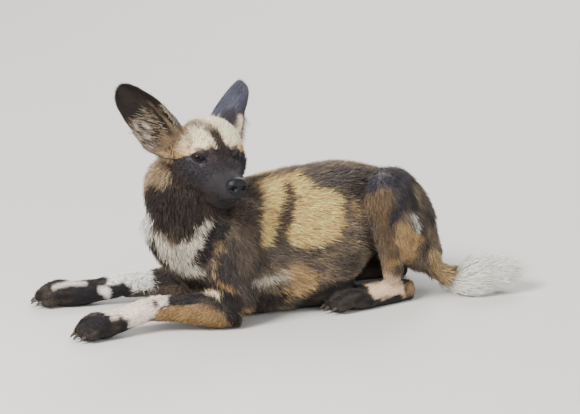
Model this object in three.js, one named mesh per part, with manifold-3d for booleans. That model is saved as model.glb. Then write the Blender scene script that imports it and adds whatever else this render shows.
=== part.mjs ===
// An African wild dog pup about three and a half months old, lying on its chest with its forelegs
// stretched out, its hind feet tucked under it and its head turned back over its left shoulder. Life
// size, in millimetres. The floor is z = 0 and +Z is up. The origin is the middle of the flat that the
// belly rests on. The trunk runs from the chest, at -X, to the tail, at +X, and its left flank faces
// -Y.
import * as THREE from "three";
import { mergeVertices } from "three/addons/utils/BufferGeometryUtils.js";
import Module from "manifold-3d";

const wasm = await Module();
wasm.setup();

// Driving dimensions, in millimetres and degrees.
const GAP = 0.3; // kept between neighbouring pieces
const FLOOR_SIZE = 2000;
const TRUNK_YAW = 22; // the trunk is turned so far from the X axis
const HEAD_AT = [-158, -90, 240]; // the middle of the skull
const HEAD_YAW = -63; // the muzzle points between -Y and +X
const HEAD_PITCH = 2; // nose down
const HEAD_ROLL = -4; // the left eye is a little lower
const EYE_RADIUS = 9.2;
const LID_THICKNESS = 1.7;
const EYE_OPENING = { long: 17, high: 8.8 };
const EAR_LENGTH = 113;
const EAR_WIDTH = 34; // half the widest chord
const EAR_THICKNESS = 3.2; // skin with the short fur on both sides
const EAR_ROOT_BEND = 125; // half the angle that the cup closes round at its root
const EAR_OPEN_BEND = 62; // half the angle of the open cup above
const EAR_OPEN_FROM = 0.55; // the height, as a share of the ear, from which it is fully open
const EAR_LEAN = 10; // the cup leans back so far over its whole height
const EAR_TUFTS = 5;
const TOE_SPREAD = [-15.5, -5.5, 5.5, 15.5];
const OUTER_TOE_BACK = 7; // the two outer toes end so far behind the inner two
const DOME = 0.45; // the height of the dome on an end of a lofted form, as a share of its radius
const THINNEST = 0.4; // the least reach of a lofted section
const LOCK_ROOTED = 0.14; // the share of a lock that runs on inside the form it grows from

const radians = THREE.MathUtils.degToRad;
const point = (x, y, z) => new THREE.Vector3(x, y, z);
const UP = point(0, 0, 1);
const UPRIGHT = [point(0, 1, 0), point(0, 0, 1)]; // rings that stand across the X axis
const LEVEL = [point(1, 0, 0), point(0, 1, 0)]; // rings that lie flat

// Groups, nested as the animal is. Shapes are made in the frame of the group that they belong to.
const dog = new THREE.Group();
const trunkGroup = new THREE.Group();
trunkGroup.rotation.z = radians(TRUNK_YAW);
const headGroup = new THREE.Group();
headGroup.position.set(...HEAD_AT);
headGroup.rotation.set(radians(HEAD_ROLL), radians(HEAD_PITCH), radians(HEAD_YAW), "ZYX");
dog.add(trunkGroup, headGroup);
dog.updateMatrixWorld(true);

// A point given in the trunk's frame: back towards the tail, out to the right side, and up.
const onTrunk = (back, right, up) => point(back, right, up).applyMatrix4(trunkGroup.matrixWorld);
const TRUNK_RIGHT = onTrunk(0, 1, 0);

// One cross-section: its middle, its reach to each side, and its reach above and below.
function section(middle, side, above, below = above) {
  return { middle, reach: point(side, above, below) };
}

// The vertices and faces of a closed mesh, as they are collected.
class Shell {
  constructor() {
    this.positions = [];
    this.faces = [];
  }
  vertex(p) {
    this.positions.push(p.x, p.y, p.z);
    return this.positions.length / 3 - 1;
  }
  quad(a, b, c, d) {
    this.faces.push(a, b, c, b, d, c);
  }
  geometry() {
    const made = new THREE.BufferGeometry();
    made.setAttribute("position", new THREE.Float32BufferAttribute(this.positions, 3));
    made.setIndex(this.faces);
    return made;
  }
}

// A smooth closed body through cross-sections, with a low dome at each end. Each ring lies across the
// line of the middles, or in the plane of the two directions in plane. A square above 2 makes the
// sections fuller at the corners. grow moves the surface out, and relief moves single points, as a
// sculptor would.
function loft(
  sections,
  { rings, sides, sideways = null, plane = null, square = 2, grow = 0, relief = (p) => p },
) {
  const middles = new THREE.CatmullRomCurve3(sections.map((s) => s.middle));
  const reaches = new THREE.CatmullRomCurve3(sections.map((s) => s.reach));
  const shell = new Shell();
  const ends = [];
  for (let ring = 0; ring <= rings; ring += 1) {
    const t = ring / rings;
    const middle = middles.getPoint(t);
    const along = middles.getTangent(t);
    let across = sideways ? sideways.clone() : point(0, 0, 0).crossVectors(UP, along);
    across.addScaledVector(along, -across.dot(along)).normalize();
    let over = point(0, 0, 0).crossVectors(along, across);
    if (plane) {
      [across, over] = plane;
      along.crossVectors(across, over);
    }
    const reach = reaches.getPoint(t);
    for (let side = 0; side < sides; side += 1) {
      const angle = (2 * Math.PI * side) / sides;
      const height = Math.sin(angle) > 0 ? reach.y : reach.z;
      const spot = middle.clone();
      const fuller = (value) => Math.sign(value) * Math.abs(value) ** (2 / square);
      spot.addScaledVector(across, fuller(Math.cos(angle)) * Math.max(reach.x, THINNEST));
      spot.addScaledVector(over, fuller(Math.sin(angle)) * Math.max(height, THINNEST));
      shell.vertex(relief(spot));
    }
    if (ring === 0 || ring === rings) {
      const outward = ring === 0 ? -1 : 1;
      const dome = DOME * Math.min(reach.x, reach.y, reach.z);
      ends.push(relief(middle.clone().addScaledVector(along, outward * dome)));
    }
  }
  const first = shell.vertex(ends[0]);
  const last = shell.vertex(ends[1]);
  for (let side = 0; side < sides; side += 1) {
    const next = (side + 1) % sides;
    for (let ring = 0; ring < rings; ring += 1) {
      const here = ring * sides;
      shell.quad(here + side, here + next, here + sides + side, here + sides + next);
    }
    shell.faces.push(first, next, side);
    shell.faces.push(last, rings * sides + side, rings * sides + next);
  }
  return grown(shell.geometry(), grow);
}

// A closed surface moved out along its own normals.
function grown(geometry, grow) {
  geometry.computeVertexNormals();
  const { position, normal } = geometry.attributes;
  for (let i = 0; i < position.array.length; i += 1) {
    position.array[i] += grow * normal.array[i];
  }
  return geometry;
}

// A smooth swelling, or a hollow where height is below zero, round a place on a surface.
function swelling(place, push, radius) {
  return (p) => {
    const near = Math.exp(-p.distanceToSquared(place) / (radius * radius));
    return p.addScaledVector(push, near);
  };
}

// A closed geometry as a solid, in world space.
function solidOf(geometry, group = dog) {
  const bare = geometry.clone();
  bare.deleteAttribute("normal");
  bare.deleteAttribute("uv");
  bare.applyMatrix4(group.matrixWorld);
  const merged = mergeVertices(bare, 1e-3);
  return new wasm.Manifold(
    new wasm.Mesh({
      numProp: 3,
      vertProperties: merged.attributes.position.array,
      triVerts: new Uint32Array(merged.index.array),
    }),
  );
}

const joined = (solids) => solids.reduce((all, one) => all.add(one));
const largest = (solid) => solid.decompose().reduce((a, b) => (b.volume() > a.volume() ? b : a));

function ball(middle, radii, { across = 20, down = 12, group = dog } = {}) {
  const made = new THREE.SphereGeometry(1, across, down);
  made.scale(...radii);
  made.translate(middle.x, middle.y, middle.z);
  return solidOf(made, group);
}

const ground = (() => {
  const block = new THREE.BoxGeometry(FLOOR_SIZE, FLOOR_SIZE, FLOOR_SIZE);
  block.translate(0, 0, -FLOOR_SIZE / 2);
  return solidOf(block);
})();

// Finishes. The colours are the middle tones of the coat.
const finish = (name, colour, roughness) =>
  new THREE.MeshStandardMaterial({ name, color: new THREE.Color(...colour), roughness, metalness: 0 });
const COAT = finish("coat", [0.36, 0.28, 0.19], 0.9);
const DARK_COAT = finish("dark_coat", [0.07, 0.06, 0.055], 0.85);
const WHITE_COAT = finish("white_coat", [0.82, 0.79, 0.72], 0.9);
const NOSE_LEATHER = finish("nose_leather", [0.03, 0.03, 0.035], 0.45);
const EYE = finish("eye", [0.03, 0.018, 0.012], 0.08);
const CLAW = finish("claw", [0.06, 0.05, 0.045], 0.4);

// Each node is kept with the form that it is cut from, so that its neighbours can be cut clear of it.
const forms = new Map();
const pieces = [];

// form(grow) gives the whole form, and cutBy names the neighbours that this node stops at.
function node(name, material, group, form, cutBy = []) {
  forms.set(name, form);
  let solid = form(0);
  for (const other of cutBy) {
    solid = solid.subtract(forms.get(other)(GAP));
  }
  solid = largest(solid.subtract(ground));
  pieces.push({ name, material, group, solid });
}

// The torso is one barrel from the breast to the rump. The back slopes down over the croup, and the
// belly rises into the groin behind the ribs.
const TORSO = [
  section(point(-262, 0, 138), 20, 22, 24),
  section(point(-246, 0, 132), 42, 42, 46),
  section(point(-215, 0, 120), 60, 60, 66),
  section(point(-180, 0, 108), 70, 76, 88),
  section(point(-140, 0, 100), 75, 90, 104),
  section(point(-95, 0, 98), 78, 98, 105),
  section(point(-45, 0, 99), 80, 103, 106),
  section(point(5, 0, 101), 79, 103, 107),
  section(point(40, 0, 112), 72, 90, 84),
  section(point(75, 0, 122), 60, 71, 58),
  section(point(110, 0, 112), 55, 66, 62),
  section(point(145, 0, 92), 52, 58, 66),
  section(point(172, 0, 68), 42, 45, 50),
  section(point(186, 0, 54), 22, 24, 26),
];
const torsoForm = (grow) =>
  solidOf(loft(TORSO, { rings: 26, sides: 24, plane: UPRIGHT, grow }), trunkGroup);
node("torso", COAT, trunkGroup, torsoForm);

// The head, in its own frame: X along the muzzle, Y to its left and Z up, from the middle of the skull.
const HEAD = [
  section(point(-52, 0, 6), 12, 14, 14),
  section(point(-42, 0, 5), 30, 32, 30),
  section(point(-22, 0, 2), 45, 50, 40),
  section(point(0, 0, -1), 51, 55, 46),
  section(point(18, 0, -4), 47, 47, 44),
  section(point(34, 0, -9), 36, 33, 38),
  section(point(50, 0, -14), 27, 20, 31),
  section(point(68, 0, -18), 22, 16, 27),
  section(point(84, 0, -20), 18.5, 13, 20),
  section(point(95, 0, -21), 12, 9, 13),
];
const flipped = ([x, y, z]) => [x, -y, z];
const mirrored = (places) =>
  places.flatMap((p) => [p, { ...p, at: flipped(p.at), push: flipped(p.push) }]);
const HEAD_RELIEF = [
  ...mirrored([
    { at: [4, 46, -24], push: [0, 6, -3], radius: 24 }, // the cheek
    { at: [24, 22, 28], push: [2, 0, 3], radius: 11 }, // the brow
    { at: [33, 29, 7], push: [-3, -3, 0], radius: 12 }, // the eye's hollow
    { at: [14, 46, -2], push: [0, 3, 1], radius: 13 }, // the cheekbone
    { at: [76, 17, -30], push: [0, 3, -1], radius: 13 }, // the upper lip with the whiskers
    { at: [50, 24, -38], push: [0, 2.5, -2], radius: 14 }, // the lip over the jaw
  ]),
  { at: [38, 0, 18], push: [-2, 0, -3], radius: 12 }, // the stop
].map((s) => swelling(point(...s.at), point(...s.push), s.radius));
const carveHead = (p) => HEAD_RELIEF.reduce((q, move) => move(q), p);

// The eyes look forward and out. Each is a ball set in the skull behind lids with an almond opening.
const EYES = [
  { side: "left", sign: 1 },
  { side: "right", sign: -1 },
].map(({ side, sign }) => ({
  side,
  middle: point(24, 27.5 * sign, 8),
  gaze: point(0.82, 0.56 * sign, 0.06).normalize(),
  sign,
}));
const eyeball = (eye, grow) => {
  const r = EYE_RADIUS + grow;
  return ball(eye.middle, [r, r, r], { across: 16, down: 10, group: headGroup });
};

// A prism with an almond section, which opens the lids. It runs out along the eye's gaze.
function lidOpening(eye) {
  const half = EYE_OPENING.long / 2;
  const inner = -half * eye.sign;
  const outer = half * eye.sign;
  const outline = new THREE.Shape();
  outline.moveTo(inner, -0.6);
  outline.quadraticCurveTo(0, EYE_OPENING.high, outer, 1);
  outline.quadraticCurveTo(0, -EYE_OPENING.high, inner, -0.6);
  const prism = new THREE.ExtrudeGeometry(outline, {
    depth: 30,
    bevelEnabled: false,
    curveSegments: 8,
  });
  const leftwards = point(0, 0, 0).crossVectors(UP, eye.gaze).normalize();
  const above = point(0, 0, 0).crossVectors(eye.gaze, leftwards);
  prism.applyMatrix4(new THREE.Matrix4().makeBasis(leftwards, above, eye.gaze));
  prism.translate(eye.middle.x, eye.middle.y, eye.middle.z);
  return solidOf(prism, headGroup);
}

const lids = (eye) => {
  const r = EYE_RADIUS + LID_THICKNESS;
  const cap = ball(eye.middle, [r, r, r], { across: 16, down: 10, group: headGroup });
  return cap.subtract(lidOpening(eye));
};
const skull = (grow) => {
  const shape = { rings: 24, sides: 26, plane: UPRIGHT, square: 2.25, grow, relief: carveHead };
  return solidOf(loft(HEAD, shape), headGroup);
};
const headForm = (grow) => {
  let head = skull(grow);
  for (const eye of EYES) {
    head = head.add(grow ? eyeball(eye, LID_THICKNESS + grow) : lids(eye));
  }
  return EYES.reduce((h, eye) => h.subtract(eyeball(eye, grow ? -1 : GAP)), head);
};
node("head", COAT, headGroup, headForm);
for (const eye of EYES) {
  node(`eye_${eye.side}`, EYE, headGroup, () => eyeball(eye, 0));
}

// The lower jaw hangs under the muzzle, and the line between them is the line of the mouth.
const JAW = [
  section(point(0, 0, -42), 26, 14, 18),
  section(point(24, 0, -45), 22, 12, 15),
  section(point(48, 0, -46), 17.5, 10, 12),
  section(point(68, 0, -43), 14.5, 8, 10),
  section(point(81, 0, -38), 9, 6, 7),
];
const jawForm = (grow) =>
  solidOf(loft(JAW, { rings: 12, sides: 14, plane: UPRIGHT, grow }), headGroup);
node("lower_jaw", DARK_COAT, headGroup, jawForm, ["head", "torso"]);

// The nose pad, with two nostrils that open forward and out.
const NOSE_AT = point(92, 0, -14);
const NOSE_BRIDGE_AT = point(88, 0, -10);
const noseForm = (grow) => {
  const padReach = [10 + grow, 15.5 + grow, 10.5 + grow];
  const pad = ball(NOSE_AT, padReach, { across: 16, down: 9, group: headGroup });
  const bridgeReach = [9 + grow, 11 + grow, 7.5 + grow];
  const bridge = ball(NOSE_BRIDGE_AT, bridgeReach, { across: 12, down: 6, group: headGroup });
  const whole = pad.add(bridge);
  if (grow) {
    return whole;
  }
  const nostrils = [1, -1].map((sign) =>
    ball(point(101, 8 * sign, -14.5), [5, 3.4, 2.8], { across: 8, down: 6, group: headGroup }),
  );
  return nostrils.reduce((nose, hole) => nose.subtract(hole), whole);
};
node("nose", NOSE_LEATHER, headGroup, noseForm, ["head"]);

// The neck stands almost upright, from between the shoulders to the back of the skull, thick with fur.
const NECK = [
  section(point(-178, -76, 96), 50, 50, 46),
  section(point(-184, -80, 130), 58, 56, 56),
  section(point(-187, -80, 165), 61, 56, 57),
  section(point(-188, -76, 195), 63, 54, 55),
  section(point(-182, -70, 222), 58, 48, 47),
  section(point(-171, -66, 244), 38, 34, 31),
];
const neckForm = (grow) => solidOf(loft(NECK, { rings: 10, sides: 18, plane: LEVEL, grow }));
node("neck", COAT, dog, neckForm, ["torso", "head", "lower_jaw"]);

// An ear is a tall cupped shell. Its cross-section is an arc, almost a tube at the root and open above.
// base is the root's place on the skull, axis the way the ear stands and facing the way its cup opens.
const EAR_ROWS = 10;
const EAR_COLUMNS = 8;
// Height, as a share of the ear's length, and half the width there, as a share of the widest.
const EAR_OUTLINE = [
  [-0.12, 0.55],
  [0.06, 0.75],
  [0.26, 0.97],
  [0.45, 0.98],
  [0.66, 0.86],
  [0.84, 0.68],
  [0.95, 0.48],
  [1.0, 0.22],
];
function earShell(base, axis, facing) {
  const stand = axis.clone().normalize();
  const open = facing.clone().addScaledVector(stand, -facing.dot(stand)).normalize();
  const across = point(0, 0, 0).crossVectors(stand, open);
  const halfWidth = new THREE.SplineCurve(
    EAR_OUTLINE.map(([height, share]) => new THREE.Vector2(height, EAR_WIDTH * share)),
  );
  const shell = new Shell();
  const faces = [];
  for (const inner of [0, 1]) {
    for (let row = 0; row <= EAR_ROWS; row += 1) {
      const { x: height, y: width } = halfWidth.getPoint(row / EAR_ROWS);
      const opened = THREE.MathUtils.clamp(height / EAR_OPEN_FROM, 0, 1);
      const bend = radians(THREE.MathUtils.lerp(EAR_ROOT_BEND, EAR_OPEN_BEND, opened));
      const radius = width / Math.sin(Math.min(bend, Math.PI / 2));
      const thick = EAR_THICKNESS * THREE.MathUtils.lerp(1.3, 0.6, Math.max(0, height));
      for (let column = 0; column <= EAR_COLUMNS; column += 1) {
        const turn = bend * ((2 * column) / EAR_COLUMNS - 1);
        const edge = Math.abs((2 * column) / EAR_COLUMNS - 1);
        const reach = radius - inner * thick * (1 - 0.4 * edge ** 4);
        const spot = base.clone().addScaledVector(stand, EAR_LENGTH * height);
        const lean = EAR_LEAN * Math.sin(Math.max(0, height) * Math.PI * 0.5);
        spot.addScaledVector(open, radius - reach * Math.cos(turn) - lean);
        spot.addScaledVector(across, reach * Math.sin(turn));
        shell.vertex(spot);
      }
    }
  }
  const wide = EAR_COLUMNS + 1;
  const inside = wide * (EAR_ROWS + 1);
  for (let row = 0; row < EAR_ROWS; row += 1) {
    for (let column = 0; column < EAR_COLUMNS; column += 1) {
      const a = row * wide + column;
      faces.push(a, a + wide, a + 1, a + 1, a + wide, a + wide + 1);
      const b = a + inside;
      faces.push(b, b + 1, b + wide, b + 1, b + wide + 1, b + wide);
    }
  }
  const counted = (length) => Array.from({ length }, (_, k) => k);
  const rim = [
    ...counted(EAR_COLUMNS),
    ...counted(EAR_ROWS).map((row) => row * wide + EAR_COLUMNS),
    ...counted(EAR_COLUMNS).map((column) => EAR_ROWS * wide + EAR_COLUMNS - column),
    ...counted(EAR_ROWS).map((row) => (EAR_ROWS - row) * wide),
  ];
  rim.forEach((a, k) => {
    const b = rim[(k + 1) % rim.length];
    faces.push(a, b, a + inside, b, b + inside, a + inside);
  });
  shell.faces = faces;
  return shell.geometry();
}
const EARS = {
  right: { base: point(-16, -40, 24), axis: point(-40, -81, 68), facing: point(0.7, -0.7, 0) },
  left: { base: point(-38, 11, 20), axis: point(-52, 78, 51), facing: point(-0.38, 0.92, 0) },
};

// A seeded row of numbers from 0 to 1.
function draws(seed) {
  let state = seed;
  return () => {
    state = (Math.imul(state, 1664525) + 1013904223) >>> 0;
    return state / 2 ** 32;
  };
}

// A flat lock of hair that tapers from its root to its tip and bends from one way to the other. wide
// lies across it, and its thickness is a third of its width.
function lock({ root, way, bend, wide, length, width, group }) {
  const start = root.clone().addScaledVector(way, -LOCK_ROOTED * length);
  const middle = root.clone().addScaledVector(way, 0.45 * length);
  const tip = middle.clone().addScaledVector(bend, 0.55 * length);
  const path = [start, root.clone().addScaledVector(way, 0.12 * length), middle, tip];
  const shares = [0.5, 1, 0.85, 0.12];
  const sections = path.map((p, k) => section(p, (shares[k] * width) / 2, (shares[k] * width) / 6));
  return solidOf(loft(sections, { rings: 3, sides: 4, sideways: wide }), group);
}

// Tufts that stand out of the mouth of an ear, rooted in its front rim near the base.
function earTufts(ear) {
  const next = draws(31);
  const stand = ear.axis.clone().normalize();
  const open = ear.facing.clone().addScaledVector(stand, -ear.facing.dot(stand)).normalize();
  const across = point(0, 0, 0).crossVectors(stand, open);
  const sign = Math.sign(ear.base.y);
  return Array.from({ length: EAR_TUFTS }, (_, k) => {
    const height = 0.2 + (0.3 * k) / EAR_TUFTS;
    const root = ear.base.clone().addScaledVector(stand, EAR_LENGTH * height);
    root.addScaledVector(across, -sign * (24 + 3 * next()));
    root.addScaledVector(open, 12 + 3 * next());
    const way = across.clone().multiplyScalar(-0.35 * sign).addScaledVector(open, 0.8).normalize();
    const bend = way.clone().addScaledVector(stand, -0.5 + 0.5 * next()).normalize();
    const length = 24 + 6 * next();
    return lock({ root, way, bend, wide: stand, length, width: 8, group: headGroup });
  });
}
for (const [side, ear] of Object.entries(EARS)) {
  const shell = () => solidOf(earShell(ear.base, ear.axis, ear.facing), headGroup);
  const earForm = () => joined([shell(), ...earTufts(ear)]);
  node(`ear_${side}`, DARK_COAT, headGroup, earForm, ["head", "neck"]);
}

// The cross-sections of a limb between two joints, at even distances.
function along(from, to, reaches) {
  const last = reaches.length - 1;
  return reaches.map((reach, k) => section(from.clone().lerp(to, k / last), ...reach));
}

// How far behind the front toes a toe ends.
const toeBack = (k) => (k === 0 || k === TOE_SPREAD.length - 1 ? OUTER_TOE_BACK : 0);

// A foot on the floor: the long bones from the joint to the knuckles, four toes that fan out, and the
// pad.
function footSolids(joint, knuckles, tip, girth) {
  const forward = tip.clone().sub(knuckles).setZ(0).normalize();
  const left = point(0, 0, 0).crossVectors(UP, forward);
  const at = (ahead, aside, up) =>
    point(tip.x, tip.y, 0).addScaledVector(forward, ahead).addScaledVector(left, aside).setZ(up);
  const bonesEnd = knuckles.clone().lerp(tip, 0.2);
  const bones = solidOf(loft(along(joint, bonesEnd, girth), { rings: 6, sides: 11 }));
  const toes = TOE_SPREAD.map((aside, k) => {
    const shorter = toeBack(k);
    const toe = [
      section(at(-46 - shorter, aside * 0.75, 24), 9, 9),
      section(at(-30 - shorter, aside * 0.95, 25), 9.5, 11, 14),
      section(at(-16 - shorter, aside, 19), 9.5, 12, 16),
      section(at(-5 - shorter, aside * 1.02, 10), 7.5, 9, 10),
    ];
    return solidOf(loft(toe, { rings: 5, sides: 7 }));
  });
  const reach = Math.hypot(tip.x - knuckles.x, tip.y - knuckles.y);
  const palm = ball(at(-0.5 * (reach + 30), 0, 15), [26, 21, 15], { across: 12, down: 7 });
  return { solid: joined([bones, palm, ...toes]), at };
}

function claws(name, at, foot) {
  TOE_SPREAD.forEach((aside, k) => {
    const shorter = toeBack(k);
    const claw = [
      section(at(-10 - shorter, aside, 12), 2.8, 3),
      section(at(-2 - shorter, aside * 1.02, 11), 2.5, 2.8),
      section(at(3.5 - shorter, aside * 1.04, 8), 1.7, 1.9),
      section(at(6 - shorter, aside * 1.05, 5), 0.7, 0.7),
    ];
    const clawForm = () => solidOf(loft(claw, { rings: 4, sides: 6 }));
    node(`${name}_${k + 1}`, CLAW, dog, clawForm, [foot, "torso"]);
  });
}

// A foreleg: the shoulder and upper arm lie on the trunk, the forearm lies on the floor and the foot
// reaches out.
const FORELEGS = {
  left: {
    blade: onTrunk(-118, -48, 166),
    shoulder: onTrunk(-156, -58, 104),
    elbow: point(-114, -122, 25),
    wrist: point(-236, -146, 35),
    knuckles: point(-296, -170, 25),
    tip: point(-343, -190, 0),
  },
  right: {
    blade: onTrunk(-118, 48, 166),
    shoulder: onTrunk(-156, 58, 104),
    elbow: point(-167, 12, 25),
    wrist: point(-278, -13, 27),
    knuckles: point(-346, -24, 22),
    tip: point(-408, -30, 0),
  },
};
for (const [side, leg] of Object.entries(FORELEGS)) {
  const bladePart = along(leg.blade, leg.shoulder, [
    [16, 26],
    [26, 42],
    [31, 48],
    [31, 46],
  ]);
  const armPart = along(leg.shoulder, leg.elbow, [
    [30, 45],
    [33, 45],
    [30, 38],
    [25, 30],
    [20, 23],
  ]);
  const upperArmForm = (grow) =>
    joined([
      ...[bladePart, armPart].map((part) =>
        solidOf(loft(part, { rings: 6, sides: 14, sideways: TRUNK_RIGHT, grow })),
      ),
      ball(leg.shoulder, [46 + grow, 36 + grow, 46 + grow], { across: 14, down: 8 }),
    ]);
  node(`upper_arm_${side}`, COAT, dog, upperArmForm, ["torso", "neck"]);

  const forearm = along(leg.elbow, leg.wrist, [
    [21, 22, 22],
    [25, 26, 26],
    [24, 25, 25],
    [20, 21, 22],
    [18, 18, 19],
    [18, 17, 19],
  ]);
  const forearmForm = (grow) => solidOf(loft(forearm, { rings: 9, sides: 14, grow }));
  node(`forearm_${side}`, COAT, dog, forearmForm, [`upper_arm_${side}`, "torso"]);

  const foot = footSolids(leg.wrist, leg.knuckles, leg.tip, [
    [16, 15, 16],
    [18, 17, 18],
    [18, 15, 18],
    [21, 16, 20],
    [22, 16, 18],
  ]);
  node(`forepaw_${side}`, DARK_COAT, dog, () => foot.solid, [`forearm_${side}`, "torso"]);
  claws(`foreclaw_${side}`, foot.at, `forepaw_${side}`);
}

// A hind leg is folded: the knee stands up beside the flank and the whole foot lies flat, with the heel
// down.
const HINDLEGS = {
  left: {
    hip: point(138, 24, 84),
    knee: point(92, -44, 180),
    ankle: point(106, -14, 38),
    heel: point(132, 4, 16),
    knuckles: point(64, -36, 22),
    tip: point(8, -62, 0),
  },
  right: {
    hip: onTrunk(138, 30, 84),
    knee: onTrunk(88, 78, 96),
    ankle: onTrunk(132, 66, 34),
    heel: onTrunk(160, 60, 16),
    knuckles: onTrunk(86, 74, 20),
    tip: onTrunk(22, 80, 0),
  },
};
for (const [side, leg] of Object.entries(HINDLEGS)) {
  const outward = point(0, 0, 0)
    .crossVectors(leg.knee.clone().sub(leg.hip), leg.ankle.clone().sub(leg.knee))
    .normalize();
  const thigh = [
    section(leg.hip.clone().lerp(leg.knee, -0.12), 26, 34),
    section(leg.hip.clone().lerp(leg.knee, 0.15), 34, 48),
    section(leg.hip.clone().lerp(leg.knee, 0.45), 36, 52),
    section(leg.hip.clone().lerp(leg.knee, 0.75), 33, 49),
    section(leg.hip.clone().lerp(leg.knee, 1.0), 28, 39),
    section(leg.hip.clone().lerp(leg.knee, 1.2), 15, 21),
  ];
  const thighForm = (grow) =>
    solidOf(loft(thigh, { rings: 10, sides: 16, sideways: outward, grow }));
  node(`thigh_${side}`, COAT, dog, thighForm, ["torso"]);

  const shank = along(leg.knee, leg.ankle, [
    [20, 24],
    [24, 31],
    [22, 29],
    [16, 22],
    [12, 17],
  ]);
  const shankForm = (grow) =>
    solidOf(loft(shank, { rings: 9, sides: 14, sideways: outward, grow }));
  node(`shank_${side}`, COAT, dog, shankForm, ["torso", `thigh_${side}`]);

  const foot = footSolids(leg.heel, leg.knuckles, leg.tip, [
    [12, 13, 16],
    [15, 17, 17],
    [16, 19, 19],
    [17, 17, 19],
    [21, 17, 21],
    [22, 17, 19],
  ]);
  const footStops = [`shank_${side}`, `thigh_${side}`, "torso"];
  node(`hindpaw_${side}`, DARK_COAT, dog, () => foot.solid, footStops);
  claws(`hindclaw_${side}`, foot.at, `hindpaw_${side}`);
}

// The tail leaves the rump low, comes down to the floor and ends in a long white brush.
const TAIL_LINE = new THREE.CatmullRomCurve3([
  point(132, 52, 66),
  point(152, 50, 46),
  point(174, 44, 29),
  point(200, 38, 23),
  point(228, 36, 25),
  point(258, 38, 28),
  point(286, 42, 31),
]);
const STEM_SHARE = 0.62;
const stemReach = [18, 19, 20, 20, 18, 14];
const stem = stemReach.map((reach, k) =>
  section(TAIL_LINE.getPoint((STEM_SHARE * k) / (stemReach.length - 1)), reach, reach),
);
const stemForm = (grow) => solidOf(loft(stem, { rings: 12, sides: 14, grow }));
node("tail", COAT, dog, stemForm, ["torso", "thigh_left", "thigh_right"]);

const BRUSH_FROM = 0.46;
const BRUSH_CORE_TO = 0.84;
const BRUSH_ROWS = 5;
const LOCKS_ROUND = 6;
const onTail = (share) => TAIL_LINE.getPoint(share);
const coreReach = [14, 16, 15, 12, 8, 4];
const core = coreReach.map((reach, k) => {
  const share = THREE.MathUtils.lerp(BRUSH_FROM, BRUSH_CORE_TO, k / (coreReach.length - 1));
  return section(onTail(share), reach, reach);
});

// The brush: a slim core, and rows of long locks that overlap like tiles and open towards the tip.
function brushForm() {
  const next = draws(7);
  const locks = [];
  for (let row = 0; row < BRUSH_ROWS; row += 1) {
    const down = row / (BRUSH_ROWS - 1);
    const share = THREE.MathUtils.lerp(BRUSH_FROM + 0.05, BRUSH_CORE_TO - 0.01, down);
    const middle = onTail(share);
    const tailWay = TAIL_LINE.getTangent(share);
    const aside = point(0, 0, 0).crossVectors(UP, tailWay).normalize();
    const over = point(0, 0, 0).crossVectors(tailWay, aside);
    const depth = 0.5 * THREE.MathUtils.lerp(15, 5, down);
    for (let k = 0; k < LOCKS_ROUND; k += 1) {
      const angle = (2 * Math.PI * (k + 0.5 * (row % 2) + 0.3 * next())) / LOCKS_ROUND;
      const outward = aside.clone().multiplyScalar(Math.cos(angle));
      outward.addScaledVector(over, Math.sin(angle));
      const open = THREE.MathUtils.lerp(1.0, 0.45, down) * (0.8 + 0.4 * next());
      const way = tailWay.clone().addScaledVector(outward, open).normalize();
      const bend = tailWay.clone().addScaledVector(outward, 0.3).normalize();
      const wide = point(0, 0, 0).crossVectors(tailWay, outward);
      const root = middle.clone().addScaledVector(outward, depth);
      const length = THREE.MathUtils.lerp(44, 40, down) * (0.85 + 0.3 * next());
      const width = 21 + 4 * next();
      locks.push(lock({ root, way, bend, wide, length, width, group: dog }));
    }
  }
  return joined([solidOf(loft(core, { rings: 7, sides: 10 })), ...locks]);
}
node("tail_brush", WHITE_COAT, dog, brushForm, ["tail"]);

// The meshes, each in the frame of its own group.
for (const { name, material, group, solid } of pieces) {
  const { numProp, vertProperties, triVerts } = solid.getMesh();
  const positions = new Float32Array((vertProperties.length / numProp) * 3);
  for (let i = 0; i < positions.length / 3; i += 1) {
    positions.set(vertProperties.subarray(i * numProp, i * numProp + 3), i * 3);
  }
  const geometry = new THREE.BufferGeometry();
  geometry.setAttribute("position", new THREE.BufferAttribute(positions, 3));
  geometry.setIndex(new THREE.BufferAttribute(triVerts, 1));
  geometry.applyMatrix4(group.matrixWorld.clone().invert());
  geometry.computeVertexNormals();
  const mesh = new THREE.Mesh(geometry, material);
  mesh.name = name;
  group.add(mesh);
}

export default dog;
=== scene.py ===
"""The look of an African wild dog pup, lying with its head turned over its left shoulder.

Metres, +Z up, in the frame of the solids. The trunk runs from the chest at -X to the tail at +X.
"""
import math

import bmesh
import bpy
import numpy as np
from mathutils import Matrix, Vector


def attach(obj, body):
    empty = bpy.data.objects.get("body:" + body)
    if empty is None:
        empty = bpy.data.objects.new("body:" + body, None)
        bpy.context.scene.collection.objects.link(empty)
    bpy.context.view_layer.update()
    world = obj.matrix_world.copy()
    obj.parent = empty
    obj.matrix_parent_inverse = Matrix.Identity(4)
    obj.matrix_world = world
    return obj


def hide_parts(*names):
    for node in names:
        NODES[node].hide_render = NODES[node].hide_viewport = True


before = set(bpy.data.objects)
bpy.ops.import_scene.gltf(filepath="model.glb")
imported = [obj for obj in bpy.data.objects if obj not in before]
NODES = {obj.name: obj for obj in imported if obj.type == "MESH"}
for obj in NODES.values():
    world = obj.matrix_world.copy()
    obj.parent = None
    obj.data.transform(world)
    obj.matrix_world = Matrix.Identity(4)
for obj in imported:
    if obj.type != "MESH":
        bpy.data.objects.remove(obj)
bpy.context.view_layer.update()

MM = 0.001
collection = bpy.context.scene.collection


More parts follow.
